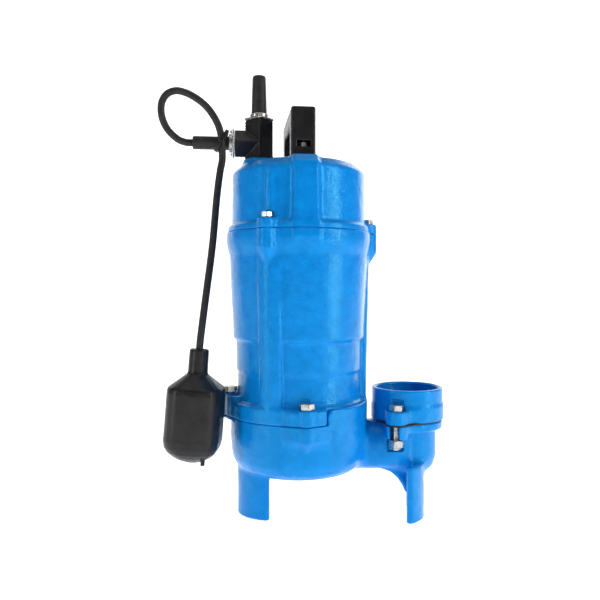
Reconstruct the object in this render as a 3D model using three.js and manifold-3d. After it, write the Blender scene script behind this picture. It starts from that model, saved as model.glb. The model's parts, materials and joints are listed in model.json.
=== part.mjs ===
// A submersible sump pump with a tethered float switch.
// Millimetres, +Z up. The floor is z = 0, the discharge points to +X and the float hangs at -X.
// The origin is the middle of the standing pump's box, on the floor.

import * as THREE from "three";
import { mergeVertices } from "three/addons/utils/BufferGeometryUtils.js";
import Module from "manifold-3d";

const wasm = await Module();
wasm.setup();

// ---------- Driving dimensions ----------

const GAP = 0.3; // clearance between neighbouring pieces
const ROUND = 32; // facets round a casting
const MEDIUM = 16; // facets round an inner part
const SMALL = 8; // facets round a screw

const MOTOR_AXIS_X = -23.75; // the motor axis in the pump's frame
const CAP_LUG_ANGLES = [-120, 0, 120];
const CASE_LUG_ANGLES = [180, -90, 90];

const CAP_BOTTOM = 312;
const CAP_TOP = 386.5;
const CAP_RADIUS = 74;
const PAD_TOP = 388; // pads under the carrying handle
const CAP_LUG_TOP = 322.5;
const CAP_BOLT_CIRCLE = 79;
const CAP_BOLT_RADIUS = 3;
const CAP_BOLT_HOLE = 3.5;

const HOUSING_BOTTOM = 112;
const HOUSING_TOP = CAP_BOTTOM - GAP;
const HOUSING_BORE = 64;
const BASE_FLANGE_TOP = 129;
const CASE_BOLT_CIRCLE = 76;
const CASE_BOLT_RADIUS = 4.8;
const CASE_BOLT_HOLE = 5.5;
const CASE_LUG_NOSE = 9;
const CASE_LUG_HALF_WIDTH = 24;
const TALL_LUG_TOP = 136.5; // the lug behind the float is taller and has a shorter bolt
const EAR_BOTTOM = 108; // underside of the thin volute ear below it
const SHOULDER_ANGLES = [-73, -14]; // where the volute wraps the housing's base flange
const SHOULDER_TOP = 127.5;
const SHOULDER_INSIDE = 72.3;

const VOLUTE_TOP = HOUSING_BOTTOM - GAP;
const VOLUTE_BORE = 67;
const SUCTION_RADIUS = 27;

const OUTLET_X = 124.5; // discharge axis, from the motor axis
const OUTLET_BORE = 27;
const OUTLET_BOLT_ANGLES = [-120, 60];
const OUTLET_BOLT_CIRCLE = 45;
const OUTLET_LUG_RADIUS = 11.5;
const OUTLET_FLANGE_TOP = 102.7;
const NUT_SEAT = 88; // underside of the flange's bolt bosses
const OUTLET_FLANGE_RADIUS = 39;
const GASKET_THICK = 1.2;
const COLLAR_BOTTOM = OUTLET_FLANGE_TOP + GASKET_THICK + 2 * GAP;
const COLLAR_TOP = 139.3;
const COLLAR_RADIUS = 40;
const COLLAR_SEAT = 118.6; // where the discharge bolts' heads rest
const COLLAR_MOUTH = 34.5;

const HANDLE_WIDTH = 26;
const HANDLE_HALF_LENGTH = 50;
const HANDLE_TOP = 442;
const HANDLE_LEG = 19;
const HANDLE_BAR = 18;
const HANDLE_BOLT_Y = 40.5;
const HANDLE_SEAT = 399;
const WINDOW_TOP = 405.5; // of the pockets that show the handle's bolts

const TEE_X = -44;
const TEE_BOTTOM = 394;
const TEE_TOP = 436.5;
const TEE_HALF_DIAGONAL = 15.6;
const WIRE_WAY = 8; // radius of the hole for the conductors
const ARM_Z = 411;
const ARM_END_X = -71;
const GLAND_PLATE = 2.5;
const GLAND_HALF_DIAGONAL = 17;
const SLEEVE_TOP = 486;
const FLOAT_SLEEVE_END_X = -117;

const CORD_RADIUS = 3.9;
const TIE_LEAN = 30; // degrees between the tie's band and the sleeve's cross-section
const FLOAT_PIVOT = [-84.6, -12.5, 391.6]; // where the cord bends, just under the cable tie
const FLOAT_NECK = [-108.4, -28, 186.5]; // top of the float's neck
const FLOAT_TILT = 4; // degrees from plumb, bottom outwards
const FLOAT_TURN = -9; // degrees about the float's own axis
const FLOAT_LENGTH = 119.5;
const FLOAT_HALF_WIDTH = 29;
const FLOAT_CORNER = 17.5;
const FLOAT_WALL = 2.4;

const SHAFT_RADIUS = 8.5;
const BEARING_WIDTH = 13;
const UPPER_BEARING_Z = 295;
const LOWER_BEARING_Z = 142;
const CORE_BOTTOM = 190;
const CORE_TOP = 280;
const IMPELLER_BOTTOM = 64;
const IMPELLER_RADIUS = 58;
const IMPELLER_VANES = 5;

// ---------- Materials ----------

const BLUE_PAINT = { color: 0x0a86d6, roughness: 0.35, metalness: 0.1 };
const ZINC = { color: 0xc9c9c4, roughness: 0.35, metalness: 1 };
const STEEL = { color: 0x8b8f94, roughness: 0.4, metalness: 1 };
const CAST_IRON = { color: 0x4b4d50, roughness: 0.7, metalness: 0.8 };
const BLACK_PLASTIC = { color: 0x17181a, roughness: 0.45, metalness: 0 };
const BLACK_RUBBER = { color: 0x141415, roughness: 0.65, metalness: 0 };
const COPPER = { color: 0xb06a3b, roughness: 0.45, metalness: 0.9 };
const CERAMIC = { color: 0xe6e1d6, roughness: 0.3, metalness: 0 };
const CARBON = { color: 0x2a2a2c, roughness: 0.6, metalness: 0 };
const ALUMINIUM = { color: 0xb9bcc0, roughness: 0.4, metalness: 1 };

// ---------- Solids ----------

const radians = THREE.MathUtils.degToRad;

// A closed geometry as a solid with its faces outwards.
function solid(geometry) {
  geometry.deleteAttribute("normal");
  geometry.deleteAttribute("uv");
  const merged = mergeVertices(geometry, 1e-4);
  const corners = merged.index.array;
  const kept = [];
  const flipped = [];
  for (let i = 0; i < corners.length; i += 3) {
    const [a, b, c] = corners.slice(i, i + 3);
    if (a === b || b === c || c === a) continue;
    kept.push(a, b, c);
    flipped.push(a, c, b);
  }
  const build = (triangles) =>
    new wasm.Manifold(
      new wasm.Mesh({
        numProp: 3,
        vertProperties: merged.attributes.position.array,
        triVerts: new Uint32Array(triangles),
      }),
    );
  const made = build(kept);
  return made.volume() > 0 ? made : build(flipped);
}

const join = (first, ...others) => others.reduce((sum, next) => sum.add(next), first);
const cut = (first, ...others) => others.reduce((rest, next) => rest.subtract(next), first);

// A profile of [radius, height] points turned about the vertical through (x, y).
function turned(profile, facets = ROUND, x = 0, y = 0) {
  const points = profile.map(([radius, height]) => new THREE.Vector2(radius, height));
  return solid(new THREE.LatheGeometry(points, facets).rotateX(Math.PI / 2).translate(x, y, 0));
}

// A ring with a closed rectangular section.
const ring = (inner, outer, bottom, top, facets = MEDIUM, x = 0, y = 0) =>
  turned([[inner, bottom], [outer, bottom], [outer, top], [inner, top], [inner, bottom]], facets, x, y);

const disc = (radius, bottom, top, facets = MEDIUM, x = 0, y = 0) =>
  turned([[0, bottom], [radius, bottom], [radius, top], [0, top]], facets, x, y);

const box = (low, high) =>
  solid(
    new THREE.BoxGeometry(high[0] - low[0], high[1] - low[1], high[2] - low[2]).translate(
      (low[0] + high[0]) / 2,
      (low[1] + high[1]) / 2,
      (low[2] + high[2]) / 2,
    ),
  );

const arc = (x, y, radius, start, end, steps) =>
  Array.from({ length: steps + 1 }, (_, i) => {
    const angle = radians(start + ((end - start) * i) / steps);
    return [x + radius * Math.cos(angle), y + radius * Math.sin(angle)];
  });

// A flat outline of [x, y] points pulled up from bottom to top.
function slab(outline, bottom, top) {
  const shape = new THREE.Shape(outline.map(([x, y]) => new THREE.Vector2(x, y)));
  const options = { depth: top - bottom, bevelEnabled: false };
  return solid(new THREE.ExtrudeGeometry(shape, options).translate(0, 0, bottom));
}

// A skin over outlines with equal numbers of points, one above the other: [[height, outline], ...].
function loft(layers) {
  const count = layers[0][1].length;
  const positions = [];
  const triangles = [];
  for (const [height, outline] of layers) for (const [x, y] of outline) positions.push(x, y, height);
  for (let layer = 0; layer + 1 < layers.length; layer++) {
    for (let i = 0; i < count; i++) {
      const next = (i + 1) % count;
      const [a, b] = [layer * count + i, layer * count + next];
      triangles.push(a, b, b + count, a, b + count, a + count);
    }
  }
  for (const layer of [0, layers.length - 1]) {
    const [height, outline] = layers[layer];
    const middle = positions.length / 3;
    const sum = outline.reduce(([sx, sy], [x, y]) => [sx + x, sy + y], [0, 0]);
    positions.push(sum[0] / count, sum[1] / count, height);
    for (let i = 0; i < count; i++) {
      const [a, b] = [layer * count + i, layer * count + ((i + 1) % count)];
      triangles.push(...(layer === 0 ? [middle, b, a] : [middle, a, b]));
    }
  }
  const geometry = new THREE.BufferGeometry();
  geometry.setAttribute("position", new THREE.Float32BufferAttribute(positions, 3));
  geometry.setIndex(triangles);
  return solid(geometry);
}

// ---------- Scene graph helpers ----------

const pump = new THREE.Group();
const motorFrame = new THREE.Group();
motorFrame.position.x = MOTOR_AXIS_X;
pump.add(motorFrame);

function piece(name, shape, finish, parent = motorFrame) {
  const { vertProperties, triVerts } = shape.getMesh();
  const geometry = new THREE.BufferGeometry();
  geometry.setAttribute("position", new THREE.BufferAttribute(new Float32Array(vertProperties), 3));
  geometry.setIndex(new THREE.BufferAttribute(new Uint32Array(triVerts), 1));
  geometry.computeVertexNormals();
  const mesh = new THREE.Mesh(geometry, new THREE.MeshStandardMaterial(finish));
  mesh.name = name;
  parent.add(mesh);
  return mesh;
}

// A hexagonal head with its shank below: the seat under the head is z = 0.
function hexBolt(across, headHeight, shankRadius, shankLength) {
  const chamferStart = headHeight * 0.8;
  const head = turned(
    [[0, 0], [across, 0], [across, chamferStart], [across * 0.85, headHeight], [0, headHeight]],
    6,
  );
  return join(head, disc(shankRadius, -shankLength, 1, SMALL));
}

const onCircle = (radius, degrees, x = 0, y = 0) => [
  x + radius * Math.cos(radians(degrees)),
  y + radius * Math.sin(radians(degrees)),
];

// ---------- Castings ----------

// The outline of a bolt lug that reaches out along +X.
const lugOutline = (boltCircle, nose, rootHalfWidth, rootRadius) => [
  [rootRadius, -rootHalfWidth],
  ...arc(boltCircle, 0, nose, -80, 80, 6),
  [rootRadius, rootHalfWidth],
];

const turnedTo = (shape, degrees) => shape.rotate([0, 0, degrees]);

// The first casing lug, behind the float, is the tall one.
const caseLugTop = (index) => (index === 0 ? TALL_LUG_TOP : BASE_FLANGE_TOP);

// Part of a ring about the motor axis between two angles, widened at both ends by a margin in degrees.
const sector = (inner, outer, start, end, margin, bottom, top) => {
  const [from, to] = [start - margin, end + margin];
  return slab([...arc(0, 0, outer, from, to, 8), ...arc(0, 0, inner, to, from, 8)], bottom, top);
};

// The motor cap: a domed cover with handle pads, three lugs and a boss for the cable tee.
function motorCap() {
  const shell = turned([
    [0, CAP_BOTTOM], [78, CAP_BOTTOM], [78, 316], [76.5, 318.5], [CAP_RADIUS, 319.5],
    [CAP_RADIUS - 0.6, 374], [72.3, 377.5], [62.5, CAP_TOP - 0.8], [58, CAP_TOP], [0, CAP_TOP],
  ]);
  const lug = slab(lugOutline(CAP_BOLT_CIRCLE, 10, 13.5, 66), CAP_BOTTOM, CAP_LUG_TOP);
  const lugs = CAP_LUG_ANGLES.map((angle) => turnedTo(lug, angle));
  const padSide = [
    [28, 375], [28, PAD_TOP], [67, PAD_TOP], [75.8, 378], [76.6, 368], [77.8, CAP_BOTTOM], [60, CAP_BOTTOM],
  ];
  const pad = slab(padSide, -12.3, 12.3).rotate([90, 0, 0]);
  const pads = [turnedTo(pad, 90), turnedTo(pad, -90)];
  const cableRib = turnedTo(box([66, -4, 329], [76, 4, 372]), CAP_LUG_ANGLES[0]);
  const bossTop = TEE_BOTTOM - GAP;
  const boss = turned([[0, 370], [19, 370], [18.4, 390], [17, bossTop], [0, bossTop]], MEDIUM, TEE_X);
  const hollow = turned([[0, CAP_BOTTOM - 1], [65, CAP_BOTTOM - 1], [65, 368], [57, 377.5], [0, 377.5]]);
  const wireWay = disc(WIRE_WAY, 370, TEE_BOTTOM + 1, SMALL, TEE_X);
  const lugHoles = CAP_LUG_ANGLES.map((angle) =>
    disc(CAP_BOLT_HOLE, CAP_BOTTOM - 1, CAP_LUG_TOP + 1, SMALL, ...onCircle(CAP_BOLT_CIRCLE, angle)),
  );
  const handleHoles = [-1, 1].map((side) =>
    disc(CAP_BOLT_HOLE, 381, PAD_TOP + 1, SMALL, 0, side * HANDLE_BOLT_Y),
  );
  const spotFaces = CAP_LUG_ANGLES.map((angle) =>
    disc(6.8, CAP_LUG_TOP, CAP_LUG_TOP + 6.4, MEDIUM, ...onCircle(CAP_BOLT_CIRCLE, angle)),
  );
  const casting = join(shell, ...lugs, ...pads, cableRib, boss);
  return cut(casting, hollow, wireWay, ...lugHoles, ...handleHoles, ...spotFaces);
}

// The motor housing: a ribbed barrel with three lugs at each end.
function motorHousing() {
  const barrel = turned([
    [0, HOUSING_BOTTOM], [76.5, HOUSING_BOTTOM], [76.5, 127], [75.2, BASE_FLANGE_TOP],
    [69.5, BASE_FLANGE_TOP + 0.5], [68, 134], [67.6, 160], [68.8, 161.5], [69.2, 194], [72.2, 197],
    [72.8, 212], [76.4, 290], [78.8, 296.5],
    [79.8, 302], [79.8, 308], [79.2, HOUSING_TOP], [0, HOUSING_TOP],
  ]);
  const ribAt = (half, outer) => [[60, -half], [outer, -half], [outer, half], [60, half]];
  const rib = loft([[HOUSING_BOTTOM, ribAt(12.5, 75.5)], [HOUSING_TOP, ribAt(12, 80.2)]]);
  const topLug = loft([
    [277, lugOutline(70, 6, 8, 62)],
    [291, lugOutline(CAP_BOLT_CIRCLE, 10, 13.5, 66)],
    [HOUSING_TOP, lugOutline(CAP_BOLT_CIRCLE, 10, 13.5, 66)],
  ]);
  const baseLug = (height) =>
    slab(lugOutline(CASE_BOLT_CIRCLE, CASE_LUG_NOSE, CASE_LUG_HALF_WIDTH, 65), HOUSING_BOTTOM, height);
  const besideShoulder = sector(72, 90, ...SHOULDER_ANGLES, 1, HOUSING_BOTTOM - 1, SHOULDER_TOP + 3);
  const bore = turned([
    [0, HOUSING_BOTTOM - 1], [70.3, HOUSING_BOTTOM - 1], [70.3, 116.3], [HOUSING_BORE, 116.3],
    [HOUSING_BORE, 143], [59, 143], [59, 149.7], [HOUSING_BORE, 149.7], [HOUSING_BORE, 300],
    [67, 300], [67, HOUSING_TOP + 1],
    [0, HOUSING_TOP + 1],
  ]);
  const topHoles = CAP_LUG_ANGLES.map((angle) =>
    disc(CAP_BOLT_HOLE, 286, HOUSING_TOP + 1, SMALL, ...onCircle(CAP_BOLT_CIRCLE, angle)),
  );
  const baseBolts = CASE_LUG_ANGLES.map((angle) => onCircle(CASE_BOLT_CIRCLE, angle));
  const baseHoles = baseBolts.map(([x, y]) =>
    disc(CASE_BOLT_HOLE, HOUSING_BOTTOM - 1, TALL_LUG_TOP + 1, SMALL, x, y),
  );
  const spotFaces = baseBolts.map(([x, y], i) =>
    disc(8.9, caseLugTop(i), caseLugTop(i) + 8.5, MEDIUM, x, y),
  );
  const ribs = CAP_LUG_ANGLES.flatMap((angle) => [turnedTo(rib, angle), turnedTo(topLug, angle)]);
  const lugs = CASE_LUG_ANGLES.map((angle, i) => turnedTo(baseLug(caseLugTop(i)), angle));
  const casting = cut(join(barrel, ...ribs, ...lugs), besideShoulder);
  return cut(casting, bore, ...topHoles, ...baseHoles, ...spotFaces);
}

// A curved plate leg: a sector of a ring about (x, y), standing on the floor.
const leg = (x, y, start, end, top) =>
  slab([...arc(x, y, 40, start, end, 6), ...arc(x, y, 32, end, start, 6)], 0, top);

// The oval flange that the volute and the collar share, with one rounded lug for each bolt.
function outletFlange(bottom, top) {
  const around = (degrees, radius, start, end) => {
    const [x, y] = onCircle(degrees === null ? 0 : OUTLET_BOLT_CIRCLE, degrees ?? 0, OUTLET_X);
    return arc(x, y, radius, start, end, 6);
  };
  const outline = [
    ...around(null, OUTLET_FLANGE_RADIUS, -70, 10),
    ...around(OUTLET_BOLT_ANGLES[1], OUTLET_LUG_RADIUS, 10, 110),
    ...around(null, OUTLET_FLANGE_RADIUS, 110, 190),
    ...around(OUTLET_BOLT_ANGLES[0], OUTLET_LUG_RADIUS, 190, 290),
  ];
  return slab(outline, bottom, top);
}

// The volute: a bowl with the suction eye below, the discharge elbow at +X and three legs.
function voluteCasing() {
  const bowl = turned([
    [0, 45.5], [33, 45.5], [36, 48], [52, 50.5], [63, 54], [69, 59], [73, 67], [74.5, 75], [75.6, 92],
    [75.6, VOLUTE_TOP], [0, VOLUTE_TOP],
  ]);
  const elbowTop = OUTLET_FLANGE_TOP - 4;
  const elbow = turned(
    [[0, 42], [14, 42.5], [23, 46], [29, 53], [32, 64], [32, elbowTop], [0, elbowTop]],
    ROUND, OUTLET_X,
  );
  // The duct between them, as rounded sections along X. Each is [x, middle y, middle z, half width,
  // half height].
  const squarer = (value) => Math.sign(value) * Math.abs(value) ** 0.7;
  const ductSection = (y, z, halfWidth, halfHeight) =>
    arc(0, 0, 1, 0, 337.5, 15).map(([u, v]) => [
      z + halfHeight * squarer(u),
      y + halfWidth * squarer(v),
    ]);
  const zBecomesX = new THREE.Matrix4().set(0, 0, 1, 0, 0, 1, 0, 0, 1, 0, 0, 0, 0, 0, 0, 1);
  const duct = (sections) =>
    loft(sections.map(([x, ...section]) => [x, ductSection(...section)])).transform(zBecomesX.elements);
  const ductOutside = duct([
    [40, 0, 76, 28, 26], [72, 0, 76, 30, 26.5], [106, -4, 76, 35, 26.5], [116, -4, 75, 31, 25],
  ]);
  const ductInside = duct([[40, 0, 80, 19, 16], [100, 0, 78, 20, 18], [OUTLET_X, 0, 76, 20, 18]]);
  const lug = loft([
    [80, lugOutline(68, 5, 14, 62)],
    [96, lugOutline(CASE_BOLT_CIRCLE, CASE_LUG_NOSE, CASE_LUG_HALF_WIDTH, 65)],
    [VOLUTE_TOP, lugOutline(CASE_BOLT_CIRCLE, CASE_LUG_NOSE, CASE_LUG_HALF_WIDTH, 65)],
  ]);
  const earOutline = lugOutline(CASE_BOLT_CIRCLE, CASE_LUG_NOSE, CASE_LUG_HALF_WIDTH, 65);
  const ear = slab(earOutline, EAR_BOTTOM, VOLUTE_TOP);
  const lugs = CASE_LUG_ANGLES.map((angle, i) => turnedTo(i === 0 ? ear : lug, angle));
  const shoulder = sector(SHOULDER_INSIDE, 76.3, ...SHOULDER_ANGLES, 0, VOLUTE_TOP - 1, SHOULDER_TOP);
  const legs = [leg(-28, 14.5, 184, 261, 66), leg(-28, 14.5, 96, 140, 66), leg(98, -15, -68, 38, 60)];
  const web = slab([[90, 52], [100, 48], [108, 41], [114, 32], [117, 24], [134, 24], [134, 56]], 0, 9)
    .rotate([90, 0, 0])
    .translate([0, -14, 0]);
  const bosses = OUTLET_BOLT_ANGLES.map((angle) =>
    disc(OUTLET_LUG_RADIUS, NUT_SEAT, 96, MEDIUM, ...onCircle(OUTLET_BOLT_CIRCLE - 2, angle, OUTLET_X)),
  );
  const bowlHollow = turned([
    [0, 40], [SUCTION_RADIUS, 40], [SUCTION_RADIUS, 53], [52, 56], [61, 60], [66, 68], [VOLUTE_BORE, 78],
    [VOLUTE_BORE, VOLUTE_TOP + 1], [0, VOLUTE_TOP + 1],
  ]);
  const mouthTop = OUTLET_FLANGE_TOP + 1;
  const elbowHollow = turned(
    [[0, 50], [15, 50.5], [23, 56], [OUTLET_BORE, 66], [OUTLET_BORE, mouthTop], [0, mouthTop]],
    MEDIUM, OUTLET_X,
  );
  const lugHoles = CASE_LUG_ANGLES.map((angle) =>
    disc(CASE_BOLT_HOLE, 94, VOLUTE_TOP + 1, SMALL, ...onCircle(CASE_BOLT_CIRCLE, angle)),
  );
  const slots = OUTLET_BOLT_ANGLES.map((angle) =>
    slab([...arc(OUTLET_BOLT_CIRCLE, 0, 5.4, 90, 270, 8), [60, -5.4], [60, 5.4]], 87.5, mouthTop)
      .rotate([0, 0, angle])
      .translate([OUTLET_X, 0, 0]),
  );
  const nutRoom = OUTLET_BOLT_ANGLES.map((angle) =>
    disc(10.6, 74, NUT_SEAT, MEDIUM, ...onCircle(OUTLET_BOLT_CIRCLE + 1, angle, OUTLET_X)),
  );
  const casting = join(
    bowl, elbow, ductOutside, outletFlange(94, OUTLET_FLANGE_TOP), ...bosses, web, shoulder,
    ...legs, ...lugs,
  );
  return cut(casting, bowlHollow, elbowHollow, ductInside, ...lugHoles, ...slots, ...nutRoom);
}

// The discharge collar that the outlet pipe screws into.
function dischargeCollar() {
  const body = disc(COLLAR_RADIUS, COLLAR_BOTTOM, COLLAR_TOP, ROUND, OUTLET_X);
  const hollow = turned([
    [0, COLLAR_BOTTOM - 1], [28.5, COLLAR_BOTTOM - 1], [28.5, 110], [COLLAR_MOUTH - 1, 114],
    [COLLAR_MOUTH, COLLAR_TOP - 2], [COLLAR_MOUTH + 1.6, COLLAR_TOP + 1], [0, COLLAR_TOP + 1],
  ], ROUND, OUTLET_X);
  const pockets = OUTLET_BOLT_ANGLES.map((angle) =>
    disc(10.9, COLLAR_SEAT, 129.5, MEDIUM, ...onCircle(OUTLET_BOLT_CIRCLE + 2.8, angle, OUTLET_X)),
  );
  const holes = OUTLET_BOLT_ANGLES.map((angle) => {
    const [x, y] = onCircle(OUTLET_BOLT_CIRCLE, angle, OUTLET_X);
    return disc(CASE_BOLT_HOLE, COLLAR_BOTTOM - 1, COLLAR_SEAT + 1, SMALL, x, y);
  });
  return cut(join(body, outletFlange(COLLAR_BOTTOM, COLLAR_SEAT)), hollow, ...pockets, ...holes);
}

piece("motor_cap", motorCap(), BLUE_PAINT);
piece("motor_housing", motorHousing(), BLUE_PAINT);
piece("volute_casing", voluteCasing(), BLUE_PAINT);
piece("discharge_collar", dischargeCollar(), BLUE_PAINT);

const gasketBottom = OUTLET_FLANGE_TOP + GAP;
piece(
  "discharge_gasket",
  cut(
    outletFlange(gasketBottom, gasketBottom + GASKET_THICK),
    disc(28.5, 100, 106, MEDIUM, OUTLET_X),
    ...OUTLET_BOLT_ANGLES.map((angle) =>
      disc(CASE_BOLT_HOLE, 100, 106, SMALL, ...onCircle(OUTLET_BOLT_CIRCLE, angle, OUTLET_X)),
    ),
  ),
  BLACK_RUBBER,
);

// ---------- Casing bolts ----------

CAP_LUG_ANGLES.forEach((angle, i) => {
  const bolt = piece(`cap_bolt_${i + 1}`, hexBolt(6, 5, CAP_BOLT_RADIUS, 32), ZINC);
  const [x, y] = onCircle(CAP_BOLT_CIRCLE, angle);
  bolt.position.set(x, y, CAP_LUG_TOP + GAP);
  bolt.rotation.z = radians(angle);
});

CASE_LUG_ANGLES.forEach((angle, i) => {
  const shankLength = i === 0 ? TALL_LUG_TOP - EAR_BOTTOM - 1 : 33;
  const bolt = piece(`housing_bolt_${i + 1}`, hexBolt(8.3, 6, CASE_BOLT_RADIUS, shankLength), ZINC);
  const [x, y] = onCircle(CASE_BOLT_CIRCLE, angle);
  bolt.position.set(x, y, caseLugTop(i) + GAP);
  bolt.rotation.z = radians(angle);
});

OUTLET_BOLT_ANGLES.forEach((angle, i) => {
  const [x, y] = onCircle(OUTLET_BOLT_CIRCLE, angle, OUTLET_X);
  const bolt = piece(`discharge_bolt_${i + 1}`, hexBolt(8.2, 6.4, CASE_BOLT_RADIUS, 42), ZINC);
  bolt.position.set(x, y, COLLAR_SEAT + GAP);
  bolt.rotation.z = radians(angle);
  const hexNut = cut(disc(8.6, -8, 0, 6), disc(CASE_BOLT_HOLE, -9, 1, SMALL));
  const nut = piece(`discharge_nut_${i + 1}`, hexNut, ZINC);
  nut.position.set(x, y, NUT_SEAT - GAP);
});

// ---------- Carrying handle ----------

function carryingHandle() {
  const half = HANDLE_HALF_LENGTH;
  const inside = half - HANDLE_LEG;
  const foot = PAD_TOP + GAP;
  const barBottom = HANDLE_TOP - HANDLE_BAR;
  const side = [
    [-half, foot], [-inside, foot], [-inside, barBottom - 5], [-inside + 5, barBottom],
    [inside - 5, barBottom], [inside, barBottom - 5], [inside, foot], [half, foot],
    ...arc(half - 15, HANDLE_TOP - 18, 15, 0, 60, 4), ...arc(0, HANDLE_TOP - 132, 130.5, 72, 90, 3),
    [-half + 3, HANDLE_TOP - 0.5], [-half, HANDLE_TOP - 3],
  ];
  const bow = slab(side, -HANDLE_WIDTH / 2, HANDLE_WIDTH / 2).rotate([90, 0, 0]).rotate([0, 0, 90]);
  const pockets = [-1, 1].map((end) => {
    const [low, high] = [end * (half - 17.5), end * (half + 1)].sort((a, b) => a - b);
    return box([-6.8, low, HANDLE_SEAT], [7.6, high, WINDOW_TOP]);
  });
  const holes = [-1, 1].map((end) =>
    disc(CAP_BOLT_HOLE, foot - 1, HANDLE_SEAT + 1, SMALL, 0, end * HANDLE_BOLT_Y),
  );
  return cut(bow, ...pockets, ...holes);
}

piece("carrying_handle", carryingHandle(), BLACK_PLASTIC);
[-1, 1].forEach((end, i) => {
  const bolt = piece(`handle_bolt_${i + 1}`, hexBolt(5.6, 5.2, CAP_BOLT_RADIUS, 15.5), ZINC);
  bolt.position.set(0, end * HANDLE_BOLT_Y, HANDLE_SEAT + GAP);
});

// ---------- Cable tee, glands and sleeves ----------

const diamond = (half, bottom, top) => disc(half, bottom, top, 4);

// Shapes for the side arm are made upright and laid along -X.
const laidOut = (shape) => shape.rotate([0, -90, 0]).translate([TEE_X, 0, ARM_Z]);
const armReach = TEE_X - ARM_END_X;

function cableTee() {
  const barrel = diamond(TEE_HALF_DIAGONAL, TEE_BOTTOM, TEE_TOP).translate([TEE_X, 0, 0]);
  const arm = laidOut(diamond(TEE_HALF_DIAGONAL - 0.3, 0, armReach));
  const wireWays = [
    disc(WIRE_WAY, TEE_BOTTOM - 1, TEE_TOP + 1, SMALL, TEE_X),
    laidOut(disc(WIRE_WAY, 0, armReach + 1, SMALL)),
  ];
  return cut(join(barrel, arm), ...wireWays);
}

// A diamond plate with a round hole for the sleeve and two screw holes at opposite corners.
const SCREW_OFFSET = GLAND_HALF_DIAGONAL - 4.2;
const glandPlate = (bottom) =>
  cut(
    diamond(GLAND_HALF_DIAGONAL, bottom, bottom + GLAND_PLATE),
    disc(9, bottom - 1, bottom + GLAND_PLATE + 1, MEDIUM),
  );
const glandScrew = (seat, side) =>
  turned(
    [[0, seat], [2, seat], [2, seat + 1.6], [1.2, seat + 2.2], [0, seat + 2.2]],
    SMALL, 0, side * SCREW_OFFSET,
  );
const glandRing = (bottom, length) => {
  const top = bottom + length;
  return turned(
    [[8.9, bottom], [10.3, bottom], [10.3, top - 1], [9.7, top], [8.9, top], [8.9, bottom]],
    MEDIUM,
  );
};

piece("cable_tee", cableTee(), BLACK_PLASTIC);

const powerPlateBottom = TEE_TOP + GAP;
const powerPlateTop = powerPlateBottom + GLAND_PLATE;
const powerGland = new THREE.Group();
powerGland.position.x = TEE_X;
motorFrame.add(powerGland);
piece("power_gland_plate", glandPlate(powerPlateBottom), ZINC, powerGland);
piece("power_gland_ring", glandRing(powerPlateTop + GAP, 4), ZINC, powerGland);

const floatPlateBottom = armReach + GAP;
const floatPlateTop = floatPlateBottom + GLAND_PLATE;
piece("float_gland_plate", laidOut(glandPlate(floatPlateBottom)), ZINC);
piece("float_gland_ring", laidOut(glandRing(floatPlateTop + GAP, 3.4)), ZINC);

[-1, 1].forEach((side, i) => {
  piece(`power_gland_screw_${i + 1}`, glandScrew(powerPlateTop + GAP, side), ZINC, powerGland);
  const sideways = glandScrew(floatPlateTop + GAP, side).rotate([0, 0, 90]);
  piece(`float_gland_screw_${i + 1}`, laidOut(sideways), ZINC);
});

// The power sleeve is open for the supply cord.
const powerSleeve = turned([
  [4.3, SLEEVE_TOP - 36], [0, SLEEVE_TOP - 36], [0, powerPlateBottom + GAP], [8.6, powerPlateBottom + GAP],
  [8.5, 446], [7.4, SLEEVE_TOP - 1], [6.8, SLEEVE_TOP], [4.3, SLEEVE_TOP], [4.3, SLEEVE_TOP - 36],
], MEDIUM);
piece("power_sleeve", powerSleeve, BLACK_RUBBER, powerGland);

const floatSleeveReach = TEE_X - FLOAT_SLEEVE_END_X;
const floatSleeve = turned([
  [0, floatPlateBottom + GAP], [8.6, floatPlateBottom + GAP], [8.6, floatPlateTop + 3.2],
  [7.3, floatPlateTop + 4.2], [7.2, floatSleeveReach - 1], [6.7, floatSleeveReach], [0, floatSleeveReach],
], MEDIUM);
piece("float_sleeve", laidOut(floatSleeve), BLACK_RUBBER);

// ---------- Float cord and cable tie ----------

// The loop leaves the sleeve, turns over itself and comes down in front of it, through the tie.
const CORD_LOOP = [
  [-117.3, 0, 410.8], [-123, 0, 410.9], [-131, -0.4, 413], [-138.5, -1, 418.4], [-144.6, -1.6, 425.2],
  [-149, -2.6, 434], [-150.9, -3.8, 444.4], [-149.4, -5, 454.6], [-143.8, -6, 462.2], [-134.6, -7, 465.4],
  [-123.6, -8.2, 463], [-112.2, -9.4, 456.8], [-102.2, -10.6, 448.6], [-94.6, -11.8, 438.6],
  [-88.8, -12.4, 427.4], [-85.8, -12.5, 416], [-84.8, -12.5, 405], [-84.6, -12.5, 396],
];
// The tether hangs from just below the tie to the float's neck.
const CORD_TETHER = [
  [-84.6, -12.5, 391.6], [-85.1, -12.8, 387], [-86.5, -13.6, 380], [-88.2, -14.6, 368.4],
  [-90.3, -16, 350.4], [-92.2, -17.5, 329], [-94.2, -19.4, 305], [-96.8, -21.2, 281.6],
  [-100, -23.2, 256.8], [-103.3, -25.2, 231], [-106.3, -27, 207], [-107.9, -27.9, 193],
  [-108.4, -28, 186.5], [-108.9, -28, 179.5],
];

function roundSection(radius, facets) {
  const outline = arc(0, 0, radius, 0, 360 - 360 / facets, facets - 1);
  return new THREE.Shape(outline.map(([x, y]) => new THREE.Vector2(x, y)));
}

function cord(points, steps) {
  const stops = points.map((point) => new THREE.Vector3(...point));
  const route = new THREE.CatmullRomCurve3(stops, false, "centripetal");
  const section = roundSection(CORD_RADIUS, SMALL);
  return solid(new THREE.ExtrudeGeometry(section, { steps, extrudePath: route, bevelEnabled: false }));
}

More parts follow.
